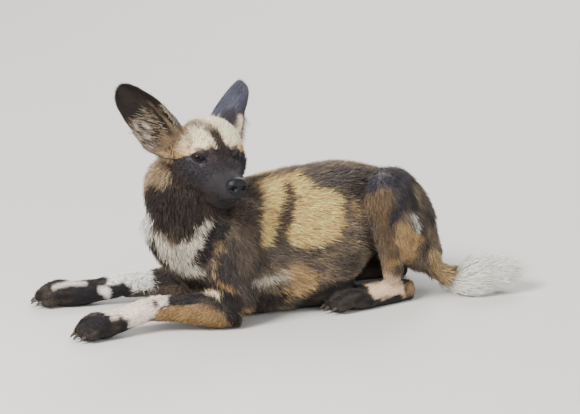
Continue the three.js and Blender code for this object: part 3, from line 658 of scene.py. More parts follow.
# The patches of the near side: tone, the zones that it lies on, and the corners of its outline.
NEAR_PATCHES = [
    # the upper arm, black-grey from the shoulder to the elbow
    (srgb(70, 64, 64), BODY, [
        (-160, 84), (-100, 92), (-90, 40), (-90, 0), (-94, -44), (-124, -44), (-140, 0), (-164, 21),
        (-176, 54),
    ]),
    # the throat and the rear of the cheek, dark brown
    (srgb(58, 50, 49), BODY + ("jaw",), [
        (-208, 196), (-172, 190), (-126, 136), (-120, 121), (-150, 86), (-186, 79), (-229, 107),
        (-243, 136), (-243, 152), (-222, 160),
    ]),
    # saddle, shoulder band, flank and the dark streak between them
    (srgb(104, 95, 91), BODY, [
        (-28, 198), (10, 206), (60, 202), (84, 186), (62, 170), (28, 160), (-6, 160), (-18, 176),
    ]),
    (CREAM, BODY, [
        (-92, 179), (-64, 190), (-32, 190), (-32, 165), (-40, 146), (-49, 132), (-56, 113), (-63, 94),
        (-68, 78), (-82, 78), (-84, 98), (-81, 124), (-84, 146), (-93, 162),
    ]),
    (CREAM, BODY, [
        (-34, 190), (-22, 178), (-10, 161), (22, 158), (34, 140), (31, 121), (35, 105), (28, 90), (8, 80),
        (-20, 76), (-38, 75), (-47, 97), (-40, 119), (-34, 146),
    ]),
    (srgb(98, 84, 72), BODY, [
        (-46, 168), (-38, 160), (-38, 135), (-43, 111), (-50, 92), (-61, 84), (-64, 98), (-60, 116),
        (-53, 134), (-48, 152),
    ]),
    (srgb(176, 150, 116), BODY, [(44, 146), (56, 142), (63, 126), (56, 116), (44, 122)]),
    (srgb(88, 76, 69), BODY, [
        (-118, 166), (-96, 160), (-85, 140), (-85, 100), (-84, 76), (-72, 62), (-96, 60), (-116, 90),
        (-124, 130),
    ]),
    # under the flank: tan, a white streak behind the elbow, and black below it
    (srgb(196, 164, 118), BODY, [
        (-56, 44), (-26, 54), (-2, 40), (-6, 20), (-26, 8), (-50, 3), (-68, 7), (-50, 20), (-38, 30),
    ]),
    (srgb(204, 192, 174), BODY, [
        (-95, 30), (-70, 36), (-50, 42), (-42, 37), (-56, 27), (-82, 21), (-95, 23),
    ]),
    (srgb(48, 42, 43), BODY, [(-92, 15), (-66, 12), (-42, 14), (-52, -3), (-92, -5)]),
    # the cheek ruff, the white chest with a black band on each side, and the dark below
    (srgb(172, 150, 120), ("neck",), [
        (-240, 216), (-214, 214), (-203, 200), (-207, 178), (-222, 162), (-236, 167), (-252, 158),
        (-260, 184), (-252, 206),
    ]),
    (WHITE, BODY, [
        (-245, 140), (-256, 128), (-262, 113), (-258, 91), (-240, 87), (-237, 105), (-239, 124),
    ]),
    (srgb(232, 222, 204), BODY, [
        (-243, 95), (-225, 95), (-209, 84), (-190, 84), (-176, 98), (-162, 109), (-148, 113), (-157, 94),
        (-162, 80), (-173, 69), (-177, 53), (-165, 38), (-192, 36), (-209, 48), (-221, 60), (-229, 77),
    ]),
    (BLACK, BODY, [(-260, 92), (-244, 88), (-228, 74), (-219, 62), (-232, 62), (-246, 70), (-258, 80)]),
    (BLACK, BODY, [
        (-134, 118), (-151, 107), (-159, 93), (-162, 78), (-174, 69), (-178, 55), (-165, 49), (-157, 60),
        (-142, 66), (-134, 83), (-122, 98),
    ]),
    (DARK, BODY, [(-206, 46), (-180, 35), (-164, 38), (-160, 22), (-206, 20)]),
    # the near foreleg, from the upper arm down to the wrist
    (srgb(158, 134, 102), NEAR_FORELEG, [(-152, 86), (-138, 85), (-133, 72), (-144, 65), (-153, 72)]),
    (srgb(98, 86, 76), NEAR_FORELEG, [(-116, 68), (-98, 60), (-93, 40), (-106, 30), (-117, 45)]),
    (GOLD, NEAR_FORELEG, [(-159, 54), (-150, 58), (-143, 53), (-150, 48)]),
    (GOLD, NEAR_FORELEG, [(-159, 39), (-150, 42), (-142, 37), (-150, 33)]),
    (srgb(188, 152, 102), NEAR_FORELEG, [(-144, 29), (-128, 25), (-117, 12), (-124, 5), (-138, 18)]),
    (srgb(44, 41, 44), NEAR_FORELEG, [
        (-219, 16), (-190, 24), (-160, 24), (-130, 14), (-105, -4), (-104, -44), (-124, -44), (-136, -18),
        (-157, -7), (-190, -3), (-215, -8),
    ]),
    (srgb(158, 128, 88), NEAR_FORELEG, [
        (-233, -14), (-215, -8), (-190, -5), (-157, -9), (-137, -19), (-125, -46), (-165, -48),
        (-233, -44),
    ]),
    (srgb(232, 212, 176), NEAR_FORELEG, [(-169, 14), (-152, 19), (-136, 11), (-142, 4), (-158, 7)]),
    (srgb(176, 142, 98), NEAR_FORELEG, [(-112, -14), (-98, -10), (-88, -44), (-110, -46)]),
    (srgb(240, 222, 206), NEAR_FORELEG, [
        (-304, -14), (-281, -8), (-257, 3), (-242, 16), (-218, 17), (-214, 3), (-223, -11), (-233, -18),
        (-237, -42), (-262, -44), (-267, -32), (-264, -22), (-280, -22), (-294, -27),
    ]),
    (srgb(74, 64, 62), NEAR_FORELEG, [(-237, 2), (-231, 4), (-227, -4), (-232, -9), (-237, -3)]),
    # the far foreleg: black above, white along the top edge and on the foot
    (srgb(46, 42, 44), FAR_FORELEG, [(-244, 46), (-200, 46), (-168, 38), (-172, 22), (-240, 20)]),
    (WHITE, FAR_FORELEG, [
        (-306, 36), (-281, 46), (-243, 46), (-243, 20), (-256, 16), (-268, 13), (-282, 20), (-306, 22),
    ]),
    (BLACK, FAR_FORELEG, [(-302, 20), (-285, 26), (-271, 20), (-268, 8), (-281, -6), (-298, -4)]),
    (WHITE, FAR_FORELEG, [(-318, 20), (-305, 22), (-299, 12), (-303, 3), (-314, 7)]),
    (srgb(216, 206, 200), FAR_FORELEG, [
        (-382, 20), (-362, 27), (-334, 26), (-334, 21), (-358, 20), (-380, 15),
    ]),
    # the near hind leg: black knee, golden brindle, a white streak, a pale foot with a dark hock
    (srgb(62, 60, 69), NEAR_HINDLEG, [
        (84, 196), (104, 202), (124, 188), (131, 162), (124, 145), (116, 124), (110, 110), (98, 110),
        (96, 124), (107, 140), (99, 156), (80, 157), (69, 144), (67, 159), (78, 182),
    ]),
    (srgb(118, 98, 76), NEAR_HINDLEG, [
        (67, 151), (80, 155), (99, 154), (105, 139), (96, 121), (96, 110), (85, 110), (73, 118),
        (66, 135),
    ]),
    (srgb(112, 92, 74), NEAR_HINDLEG, [
        (77, 113), (96, 109), (108, 102), (110, 80), (116, 64), (104, 53), (93, 69), (82, 91),
    ]),
    (GOLD, NEAR_HINDLEG, [
        (108, 106), (123, 107), (143, 91), (141, 69), (132, 55), (123, 52), (115, 66), (109, 80),
    ]),
    (srgb(232, 228, 222), NEAR_HINDLEG, [(130, 122), (136, 121), (142, 102), (139, 94), (133, 110)]),
    (srgb(176, 142, 98), NEAR_HINDLEG, [(96, 58), (110, 61), (115, 53), (107, 44), (96, 42)]),
    (srgb(226, 198, 168), NEAR_HINDLEG, [
        (50, 40), (96, 41), (121, 25), (121, 9), (96, 8), (79, 4), (68, 18), (54, 30),
    ]),
    (srgb(58, 50, 51), NEAR_HINDLEG, [(108, 52), (123, 48), (127, 31), (121, 20), (114, 36), (103, 42)]),
    (srgb(150, 124, 92), NEAR_HINDLEG, [(124, 48), (132, 48), (141, 25), (141, 8), (123, 8), (126, 25)]),
    # the tail: dark below and again before the white brush
    (srgb(212, 184, 138), ("tail", "rump"), [
        (156, 74), (176, 66), (206, 44), (208, 24), (182, 22), (164, 40),
    ]),
    (srgb(84, 70, 58), ("tail", "rump"), [
        (144, 34), (166, 34), (184, 20), (194, 8), (166, 2), (144, 10),
    ]),
    (srgb(104, 88, 72), ("tail",), [(196, 52), (205, 54), (204, 12), (196, 12)]),
]
# The patches of the far flank: tone, and the corners of its outline.
FAR_PATCHES = [
    (DARK, [(-200, 150), (-160, 186), (-112, 190), (-106, 150), (-140, 120), (-190, 120)]),
    (CREAM, [(-98, 200), (-60, 204), (-62, 150), (-70, 90), (-92, 60), (-104, 100), (-96, 150)]),
    (CREAM, [(-52, 150), (-20, 168), (8, 140), (16, 96), (-6, 60), (-44, 66), (-60, 100)]),
    (BROWN, [(-32, 106), (-14, 100), (-10, 54), (-34, 50), (-38, 82)]),
    (srgb(48, 43, 45), [(24, 168), (58, 176), (66, 120), (44, 70), (22, 92), (30, 130)]),
    (GOLD, [(66, 110), (90, 116), (96, 80), (76, 56), (60, 76)]),
    (srgb(48, 43, 45), [(-140, 60), (-90, 44), (-30, 40), (-40, 14), (-130, 16)]),
    (srgb(226, 216, 200), [(-160, 100), (-140, 104), (-132, 80), (-150, 66), (-164, 78)]),
]
VIEW_UP = np.array([0, math.sin(CAMERA_RISE), math.cos(CAMERA_RISE)])
EDGE_REACH, EDGE_SOFT, MOST_WAVER = 12, 4.5, 6.5


def patch_mask(across, up, outline, places, drawn_out, seed):
    """How much each place belongs to a patch whose edge wavers and frays along the hair."""
    corners = np.array(outline, float)
    low, high = corners.min(axis=0) - EDGE_REACH, corners.max(axis=0) + EDGE_REACH
    close = np.nonzero((across > low[0]) & (across < high[0]) & (up > low[1]) & (up < high[1]))[0]
    x, y = across[close], up[close]
    nearest = np.full(len(close), 99.0)
    inside = np.zeros(len(close), bool)
    for (ax, ay), (bx, by) in zip(corners, np.roll(corners, -1, axis=0)):
        run, climb = bx - ax, by - ay
        share = np.clip(((x - ax) * run + (y - ay) * climb) / (run * run + climb * climb), 0, 1)
        nearest = np.minimum(nearest, np.hypot(x - ax - share * run, y - ay - share * climb))
        crossed = (ay > y) != (by > y)
        inside ^= crossed & (x < ax + (y - ay) * run / (climb if climb else 1e-9))
    waver = min(MOST_WAVER, 0.19 * float((high - low - 2 * EDGE_REACH).min()))
    deep = np.where(inside, nearest, -nearest)
    deep += waver * noise(places[close], 20, seed) + 0.8 * waver * noise(drawn_out[close], 5, seed + 5)
    mask = np.zeros((len(across), 1))
    mask[close, 0] = np.clip(deep / EDGE_SOFT + 0.5, 0, 1)
    return mask


def step(value, edge, width):
    """A soft step from 0 to 1 where the value passes the edge."""
    share = np.clip((value - edge) / width + 0.5, 0, 1)
    return (share * share * (3 - 2 * share))[:, None]


def tint(colour, share, tone):
    """The colour, turned towards a tone by a share for each place."""
    return colour + share * (tone - colour)


NEAR_SEED, FAR_SEED = 11, 71
ZONE_GRIP = 1.6  # a marking keeps its full tone up to the join with the next zone
KEPT_CLEAN = 0.7  # the share of the brindle that a patch keeps off
BRINDLE_TAN = srgb(186, 163, 130)


def paint_body(places, weights, drawn_out):
    """The ground colour of each zone, the patches over it, and the brindle."""
    grounds = by_zone(ZONE_COLOURS)
    colour = weights @ np.array([ground for ground, _ in grounds])
    streaked = (weights @ np.array([strength for _, strength in grounds]))[:, None]
    up = places @ VIEW_UP
    back, right = places @ TRUNK[0], places @ TRUNK[1]
    hidden = owned_by(weights, "trunk", "rump") * (1 - step(-right, 12, 24))
    hidden += owned_by(weights, "breast") * (1 - step(-right, -14, 24))
    for k, (tone, zones, outline) in enumerate(NEAR_PATCHES):
        mask = patch_mask(places[:, 0], up, outline, places, drawn_out, NEAR_SEED + k)
        mask = mask * np.clip(owned_by(weights, *zones) * ZONE_GRIP, 0, 1) * (1 - hidden)
        colour = tint(colour, mask, tone)
        streaked = streaked * (1 - KEPT_CLEAN * mask)
    far = owned_by(weights, "trunk", "rump", "thigh_right", "arm_right") * step(right, 10, 20)
    for k, (tone, outline) in enumerate(FAR_PATCHES):
        mask = far * patch_mask(back, places[:, 2], outline, places, drawn_out, FAR_SEED + k)
        colour = tint(colour, mask, tone)
        streaked = streaked * (1 - KEPT_CLEAN * mask)
    # Brindle: tan hairs in the dark coat, and dark hairs in all of it.
    streak = step(0.75 * noise(drawn_out, 6, 61) + 0.7 * noise(places, 30, 62), 0.15, 0.8)
    streak = streak * np.clip(1.3 - 2.6 * colour.mean(axis=1)[:, None], 0, 1)
    colour = tint(colour, streak * streaked, BRINDLE_TAN)
    dim = step(0.8 * noise(drawn_out, 5, 63) + 0.6 * noise(places, 26, 64), 0.25, 0.7)
    return colour * (1 - 0.5 * dim * np.clip(streaked * 2, 0.35, 1))


PALE_BROW_AND_HIGHLIGHT = srgb(254, 236, 200)
FACE_MASK = srgb(47, 43, 47)
SNOUT = srgb(33, 30, 33)
JOWL = srgb(60, 48, 44)
STRIPE = srgb(48, 39, 39)
BROW_SPOT = srgb(60, 50, 50)
OVER_EYE = srgb(70, 58, 54)
EYE_RIM = srgb(34, 30, 34)
LID_RIM = srgb(22, 18, 18)
UNDER_EYE_SHEEN = srgb(92, 94, 110)
LIPS = srgb(16, 14, 16)
# The top of the mask, as height over the way forward, and the middle of the stripe, as left over forward.
MASK_TOP = ((-40, -22, -10, 5, 18, 26, 32, 38, 46), (-24, -14, -4, 4, 11, 18, 23, 29, 42))
STRIPE_MIDDLE = ((-40, -2, 10, 20, 30, 36), (-28, -20, -8, -1, 3.5, 6))
STRIPE_HALF = 8.5


def paint_head(places, drawn_out, face):
    """Pale brow and temples, near white on top as painted highlight, a dark mask from the eyes to the jaw,
    a dark stripe up the forehead, and a painted bluish sheen below each eye.
    """
    local = in_head(places)
    x, y, z = local.T
    wander = 2.6 * noise(places, 12, 41) + 2.2 * noise(drawn_out, 4, 42)
    # The top of the head is cream, and near white where it faces the light: partly its own pale hair, partly
    # painted highlight.
    face = tint(face, 0.92 * step(z + wander, 20, 20), PALE_BROW_AND_HIGHLIGHT)
    mask = step(np.interp(x, *MASK_TOP) - z + 0.8 * wander, 0, 3.5)
    face = tint(face, mask * step(x + 0.3 * (z + 20) + wander, -62, 9), FACE_MASK)
    snout = step(x + 0.4 * wander, 62, 26)
    face = tint(face, 0.8 * snout, SNOUT)
    face = tint(face, 0.7 * step(-z + wander, 34, 14) * (1 - snout), JOWL)
    stripe = step(STRIPE_HALF - np.abs(y - np.interp(x, *STRIPE_MIDDLE)) + 1.1 * wander, 0, 4)
    stripe = stripe * step(z, 8, 8) * step(x + wander, -22, 20)
    thin = np.clip(0.98 - 0.3 * step(-x, -12, 14)[:, 0] * (1 + noise(drawn_out, 6, 44)), 0, 1)
    face = tint(face, stripe * thin[:, None], STRIPE)
    for side, sign in (("left", 1), ("right", -1)):
        brow = step(1 - np.hypot((x - 37) / 9, (y - 13 * sign) / 7) + 0.05 * wander, 0.1, 0.5)
        face = tint(face, 0.85 * brow, BROW_SPOT)
        over_eye = step(1 - np.hypot((y - 27 * sign) / 9, (z - 20) / 3.5) + 0.06 * wander, 0.1, 0.6)
        face = tint(face, 0.8 * over_eye * (x > 15)[:, None], OVER_EYE)
        outside, ahead, far, _ = almond(local, side)
        round_eye = ((ahead > 0) & (far < 16))[:, None]
        face = tint(face, round_eye * step(2.8 - outside, 0, 1.2), EYE_RIM)
        # A bluish band below the eye, just outside the lid, is painted sheen.
        eye_sheen = step(1.0 - np.abs(outside - 1.8), 0, 0.8) * step(10 - z, 0, 3)
        face = tint(face, 0.6 * round_eye * eye_sheen, UNDER_EYE_SHEEN)
    return tint(face, 0.9 * step(3.2 - from_mouth(local), 0, 1.6), LIPS)


EAR_WITHIN = srgb(30, 22, 20)
EAR_FRINGE = srgb(160, 136, 106)
EAR_PALE = srgb(206, 196, 180)
EAR_BEHIND = srgb(66, 68, 81)
EAR_DARK = srgb(46, 42, 47)
EAR_BLOT = srgb(46, 41, 46)
EAR_ROOT = srgb(212, 178, 124)
EAR_RIM_PALE = srgb(220, 202, 170)


def on_ear(side, places):
    """How high each place is on the ear, from 0 to 1, and how far to the front of its middle line in mm."""
    base, stand, _, cross = ear_frame(side)
    front = (places - base) @ cross * (1 if side == "right" else -1)
    return (places - base) @ stand / EAR_LENGTH, front


def paint_ear(side, places, normals, drawn_out):
    """Dark brown within, with pale hair at the mouth, and blue-grey behind, with a pale root."""
    height, front = on_ear(side, places)
    inside = step(normals @ ear_frame(side)[2], 0.0, 0.5)
    hair = noise(drawn_out, 5, 48)
    inner = EAR_WITHIN * (1 + 0.5 * np.clip(hair, -0.6, 1))[:, None]
    fringe = step(0.5 - height + 0.14 * hair, 0, 0.3) * step(12 - front + 9 * hair, 0, 14)
    inner = tint(inner, fringe * np.clip(0.12 + 0.75 * hair, 0, 0.8)[:, None], EAR_FRINGE)
    pale = step(1 - np.hypot((height - 0.41) / 0.14, (front + 22) / 9), 0.1, 0.6)
    inner = tint(inner, pale * np.clip(0.3 + 0.8 * hair, 0, 0.9)[:, None], EAR_PALE)
    outer = EAR_BEHIND * (1 + 0.45 * noise(drawn_out, 7, 49)[:, None])
    outer = tint(outer, 0.75 * step(np.abs(front), 25, 10) * step(height, 0.35, 0.3), EAR_DARK)
    if side == "left":
        reach = 0.37 - 0.007 * np.maximum(front + 3, 0)
        outer = tint(outer, 0.92 * step(reach - height + 0.09 * hair, 0, 0.07), EAR_ROOT)
        rim_pale = step(0.45 - height + 0.12 * hair, 0, 0.12) * step(front + 4 * hair, 28, 5)
        outer = tint(outer, 0.9 * rim_pale, EAR_RIM_PALE)
        blot = step(1 - np.hypot((height - 0.34) / 0.15, (front - 20) / 9) + 0.2 * hair, 0, 0.5)
        outer = tint(outer, 0.9 * blot, EAR_BLOT)
    root = step(0.14 - height + 0.08 * hair, 0, 0.1)
    outer = tint(outer, 0.9 * root, srgb(204, 172, 126))
    inner = tint(inner, 0.6 * root, srgb(128, 106, 82))
    return tint(outer, inside, inner)


SQUEEZE = 0.72  # how far noise is drawn out along the hair, into streaks


def paint(places, normals):
    """The colour of the coat at each place (mm), as linear light."""
    weights = zone_weights(places, 3.5)
    lie = unit(weights @ FLOWS)
    drawn_out = places - SQUEEZE * lie * (places * lie).sum(axis=1, keepdims=True)
    colour = paint_body(places, weights, drawn_out)
    headed = np.clip(owned_by(weights, "skull", "muzzle", "jaw") * ZONE_GRIP, 0, 1)
    colour = tint(colour, headed, paint_head(places, drawn_out, colour))
    for side in EARS:
        ear_tone = paint_ear(side, places, normals, drawn_out)
        colour = tint(colour, owned_by(weights, f"ear_{side}"), ear_tone)
    # Under the feet and the belly, within a centimetre of the floor, the hair is painted a little darker:
    # painted shade.
    colour = colour * (1 - 0.25 * step(6 - places[:, 2], 0, 8))
    fleck = 1 + 0.20 * noise(drawn_out, 3.2, 51)[:, None] + 0.10 * noise(places, 34, 52)[:, None]
    return np.clip(colour * fleck, 0.002, 0.95)


def write_colours(mesh, colours):
    layer = mesh.color_attributes.new("coat", "FLOAT_COLOR", "POINT")
    flat = np.ones((len(colours), 4), np.float32)
    flat[:, :3] = colours
    layer.data.foreach_set("color", flat.ravel())


GRAIN_DEPTH = 0.0006
GRAIN_SHADES = (0.72, 1.28)


def coat_look(name, roughness, grain, bump):
    """A fur or hide finish: the painted colour, broken up by fine grain along the hair."""
    look, tree, surface = new_finish(name, {"Roughness": roughness, "Specular IOR Level": 0.25})
    painted = add_layer(tree, "ShaderNodeAttribute")
    painted.attribute_name = "coat"
    spots = add_layer(tree, "ShaderNodeTexCoord").outputs["Object"]
    fine = add_layer(tree, "ShaderNodeTexNoise", {"Scale": grain, "Detail": 3, "Vector": spots})
    darkest, palest = GRAIN_SHADES
    shades = {"To Min": darkest, "To Max": palest, "Value": fine.outputs["Fac"]}
    shade = add_layer(tree, "ShaderNodeMapRange", shades)
    mixed = add_layer(tree, "ShaderNodeVectorMath")
    mixed.operation = "SCALE"
    apply(tree, mixed, {0: painted.outputs["Color"], "Scale": shade.outputs["Result"]})
    apply(tree, surface, {"Base Color": mixed.outputs["Vector"]})
    if bump:
        grooves = {"Strength": bump, "Distance": GRAIN_DEPTH, "Height": fine.outputs["Fac"]}
        relief = add_layer(tree, "ShaderNodeBump", grooves)
        apply(tree, surface, {"Normal": relief.outputs["Normal"]})
    return look


places = read_points(skin_mesh)
normals = read_normals(skin_mesh)
skin_colours = paint(places, normals)
local = in_head(places)
rim_dark = np.zeros(len(places))
for side in EYES:
    outside, ahead, far, _ = almond(local, side)
    ring = np.clip(1.4 - np.abs(outside - 0.3) / 1.6, 0, 1) * (ahead > 0) * (far < 16)
    rim_dark = np.maximum(rim_dark, ring)
skin_colours = tint(skin_colours, rim_dark[:, None], LID_RIM)
skin_colours = tint(skin_colours, np.exp(-((from_mouth(local) / 2.4) ** 2))[:, None], LIPS)
write_colours(skin_mesh, skin_colours * 0.9)
shade_smooth(skin_mesh)
skin_mesh.materials.clear()
skin_mesh.materials.append(coat_look("skin", 0.75, 900, 0.5))
# The skin is unrolled into flat islands. Each tuft takes the place of its root on this map.
bpy.context.view_layer.objects.active = skin
skin.select_set(True)
bpy.ops.object.mode_set(mode="EDIT")
bpy.ops.mesh.select_all(action="SELECT")
bpy.ops.uv.smart_project(angle_limit=math.radians(66), island_margin=0.0015)
bpy.ops.object.mode_set(mode="OBJECT")
skin.select_set(False)
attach(skin, "root")
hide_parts(*FLESH, "ear_left", "ear_right")


# The coat. The real hair is short and rough, with little wool under it. It lies from the nose to the tail and
# down the legs, shortest on the face and feet and longest on the neck and breast. Here it stands in fine
# tapered tufts, each rooted in the skin.
HAIR = {
    # zone: length, width, tufts for each square millimetre, lift in degrees
    "breast": (19, 1.62, 0.22, 26),
    "trunk": (16, 1.46, 0.26, 24),
    "rump": (14, 1.40, 0.26, 22),
    "neck": (16, 1.35, 0.42, 24),
    "skull": (10.5, 1.19, 0.53, 32),
    "muzzle": (3.4, 0.70, 0.95, 22),
    "jaw": (8, 0.97, 0.65, 28),
    "ear": (5, 0.85, 0.36, 18),
    "arm": (13, 1.37, 0.24, 22),
    "forearm": (9, 1.25, 0.35, 20),
    "forepaw": (5.5, 1.08, 0.43, 18),
    "thigh": (14, 1.48, 0.23, 20),
    "shank": (9.5, 1.25, 0.30, 20),
    "hindpaw": (5.5, 1.08, 0.43, 18),
    "tail": (17, 1.51, 0.39, 26),
    "brush": (20, 1.40, 0.43, 26),
}
HAIR_ROWS = np.array(by_zone(HAIR), float)
COAT_SEED = 20
draw = np.random.default_rng(COAT_SEED)

skin_mesh.calc_loop_triangles()
triangle_points = rows_of(skin_mesh.loop_triangles, "vertices", 3, int)
triangle_loops = rows_of(skin_mesh.loop_triangles, "loops", 3, int)
skin_uv = rows_of(skin_mesh.uv_layers.active.data, "uv", 2)
corners = places[triangle_points]
crosses = np.cross(corners[:, 1] - corners[:, 0], corners[:, 2] - corners[:, 0])
areas = np.linalg.norm(crosses, axis=1) / 2


def roots_on(triangles_density):
    """Random roots on the skin, as many on each triangle as its area and density ask for."""
    wanted = areas * triangles_density
    count = np.floor(wanted + draw.random(len(wanted))).astype(int)
    which = np.repeat(np.arange(len(wanted)), count)
    a, b = draw.random((2, len(which)))
    fold = a + b > 1
    a, b = np.where(fold, 1 - a, a), np.where(fold, 1 - b, b)
    share = np.stack([1 - a - b, a, b], axis=1)[:, :, None]
    place = (corners[which] * share).sum(axis=1)
    normal = unit((normals[triangle_points[which]] * share).sum(axis=1))
    spot = (skin_uv[triangle_loops[which]] * share).sum(axis=1)
    return place, normal, spot


def some_roots(count, share):
    """About count random roots, spread over the skin by the share of each triangle."""
    return roots_on(share * (count / (share * areas).sum()))


ROOT_SUNK = 0.9
OFF_FLOOR = 0.7
FLATNESS = 0.55
# Each tuft is painted darker at its root and lighter at its tip: painted shade deep in the coat and painted
# light on the tips.
PAINTED_ROOT_SHADE, PAINTED_TIP_LIGHT = 0.58, 1.20
COLOUR_PATCH = 0.0015  # the width of a tuft on the map of the skin


def make_tufts(name, place, normal, spot, flow, length, width, lift, colour, slot, look, rings=2, curl=0.5):
    """One piece of the coat: closed three-sided tufts that taper to a point and bend down along the skin."""
    count = len(place)
    points = rings * 3 + 1
    flow = unit(flow - normal * (flow * normal).sum(axis=1, keepdims=True))
    side = np.cross(normal, flow)
    verts = np.empty((count, points, 3))
    shades = np.empty((count, points, 3))
    uvs = np.empty((count, points, 2))
    for ring in range(rings + 1):
        t = ring / rings
        rise = np.sin(lift) * (t - curl * 0.6 * t * t)
        middle = place - normal * (ROOT_SUNK * (1 - t))
        middle = middle + length[:, None] * (normal * rise[:, None] + flow * (np.cos(lift) * t)[:, None])
        # painted shade at the root, painted light towards the tip
        shade = np.minimum(colour * (PAINTED_ROOT_SHADE + (PAINTED_TIP_LIGHT - PAINTED_ROOT_SHADE) * t), 0.97)
        if ring == rings:
            verts[:, -1] = middle
            shades[:, -1] = shade
            uvs[:, -1] = spot + (0, COLOUR_PATCH)
            break
        girth = width * (1 - t) ** 0.6 / 2
        for k in range(3):
            angle = 2 * math.pi * k / 3 + math.pi / 2
            sideways, outwards = math.cos(angle), math.sin(angle)
            verts[:, ring * 3 + k] = (
                middle
                + side * (girth * sideways)[:, None]
                + normal * (girth * FLATNESS * outwards)[:, None]
            )
            shades[:, ring * 3 + k] = shade
            uvs[:, ring * 3 + k] = spot + COLOUR_PATCH * (1 - t) * np.array([sideways, outwards])
    verts[:, :, 2] = np.maximum(verts[:, :, 2], OFF_FLOOR)
    pattern = [(0, 1, 2)]
    for ring in range(rings - 1):
        for k in range(3):
            a, b = ring * 3 + k, ring * 3 + (k + 1) % 3
            pattern += [(a, a + 3, b), (b, a + 3, b + 3)]
    last = (rings - 1) * 3
    pattern += [(last + k, rings * 3, last + (k + 1) % 3) for k in range(3)]
    pattern = np.array(pattern)
    faces = (np.arange(count)[:, None, None] * points + pattern).reshape(-1)
    mesh = bpy.data.meshes.new(name)
    mesh.vertices.add(count * points)
    mesh.vertices.foreach_set("co", (verts * MM).ravel())
    mesh.loops.add(len(faces))
    mesh.loops.foreach_set("vertex_index", faces)
    mesh.polygons.add(len(faces) // 3)
    mesh.polygons.foreach_set("loop_start", np.arange(0, len(faces), 3))
    shade_smooth(mesh)
    mesh.update(calc_edges=True)
    layer = mesh.uv_layers.new(name="OFBake")
    layer.data.foreach_set("uv", uvs.reshape(-1, 2)[faces].astype(np.float32).ravel())
    write_colours(mesh, shades.reshape(-1, 3))
    mesh.materials.append(look)
    piece = add_to_scene(name, mesh)
    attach(piece, "root")
    return piece


FUR = coat_look("fur", 0.62, 700, 0)
# No hair grows under the feet, on the lids, under the pad of the nose or in the line of the mouth.
middles = corners.mean(axis=1)
triangle_weights = zone_weights(middles, 4)
density = triangle_weights @ HAIR_ROWS[:, 2]
density[middles[:, 2] < 1.6] = 0
local_middles = in_head(middles)
for side in EYES:
    outside, ahead, far, away = almond(local_middles, side)
    density[(far < 14) & (ahead > 0) & (outside < 1.6)] = 0
density[np.linalg.norm((local_middles - (93, 0, -15)) / (12, 17, 14), axis=1) < 1] = 0
density[from_mouth(local_middles) < 1.7] = 0
place, normal, spot = roots_on(density)
root_weights = zone_weights(place, 4)
length, width, _, lift = (root_weights @ HAIR_ROWS).T
local_roots = in_head(place)
# Hair grows shorter towards the nose and round the eyes.
headed = owned_by(root_weights, "skull", "muzzle")[:, 0]
toward_nose = np.clip((local_roots[:, 0] + 10) / 70, 0, 1)
length = length * (1 - 0.45 * headed * toward_nose)
for side in EYES:
    close = np.clip((np.linalg.norm(local_roots - EYES[side][0], axis=1) - 10) / 14, 0, 1)
    length = length * (0.35 + 0.65 * close)
    width = width * (0.7 + 0.3 * close)
near_ground = np.clip(place[:, 2] / 14, 0.35, 1)
length = length * draw.uniform(0.7, 1.25, len(place)) * (0.6 + 0.4 * near_ground)
width = width * draw.uniform(0.8, 1.2, len(place))
lift = np.radians(lift) * draw.uniform(0.6, 1.5, len(place)) * near_ground
flow = root_weights @ FLOWS
flow = flow + 0.16 * draw.normal(size=flow.shape)
clump = np.stack([noise(place, 14, 90 + k) for k in range(3)], axis=1)
flow = flow + 0.22 * clump
# Hair gathers in small locks: each tuft leans to the middle of its lock, and a lock has one shade.
lock_size = np.clip(length * 0.36, 2.2, 5.5)[:, None]
_, lock = np.unique(np.floor(place / lock_size + 0.35 * clump).astype(int), axis=0, return_inverse=True)
lock = lock.ravel()
members = np.bincount(lock)
centre = np.stack([np.bincount(lock, place[:, k]) / members for k in range(3)], axis=1)[lock]
flow = unit(flow) + 0.4 * (centre - place) / lock_size
lift = lift * draw.uniform(0.75, 1.3, len(members))[lock]
lock_shade = draw.normal(1, 0.15, len(members))[lock][:, None]
stray = draw.normal(size=place.shape) * (0.16 * length)[:, None]
halfway = place + unit(root_weights @ FLOWS) * (0.5 * length)[:, None] + stray
colour = paint(halfway - normal * ((halfway - place) * normal).sum(axis=1, keepdims=True), normal)
colour = np.clip(colour * lock_shade * draw.normal(1, 0.17, (len(place), 1)), 0.004, 0.95)
# The tufts are parted into pieces by the part of the body that they grow on, and then along the body.
owner = np.array([name.split("_")[0] for name in ZONE_NAMES])[root_weights.argmax(axis=1)]
GROUPS = {
    "coat_trunk": ("trunk", "breast", "rump"),
    "coat_neck": ("neck",),
    "coat_head": ("skull", "muzzle", "jaw"),
    "coat_ears": ("ear",),
    "coat_forelegs": ("arm", "forearm", "forepaw"),
    "coat_hindlegs": ("thigh", "shank", "hindpaw"),
    "coat_tail": ("tail", "brush"),
}
MOST_TUFTS = 19000
for group, zones in GROUPS.items():
    chosen = np.nonzero(np.isin(owner, zones))[0]
    chosen = chosen[np.argsort(place[chosen, 0])]
    for k, start in enumerate(range(0, len(chosen), MOST_TUFTS)):
        part = chosen[start : start + MOST_TUFTS]
        rows = (row[part] for row in (place, normal, spot, flow, length, width, lift, colour))
        make_tufts(f"{group}_{k + 1}", *rows, "coat", FUR)


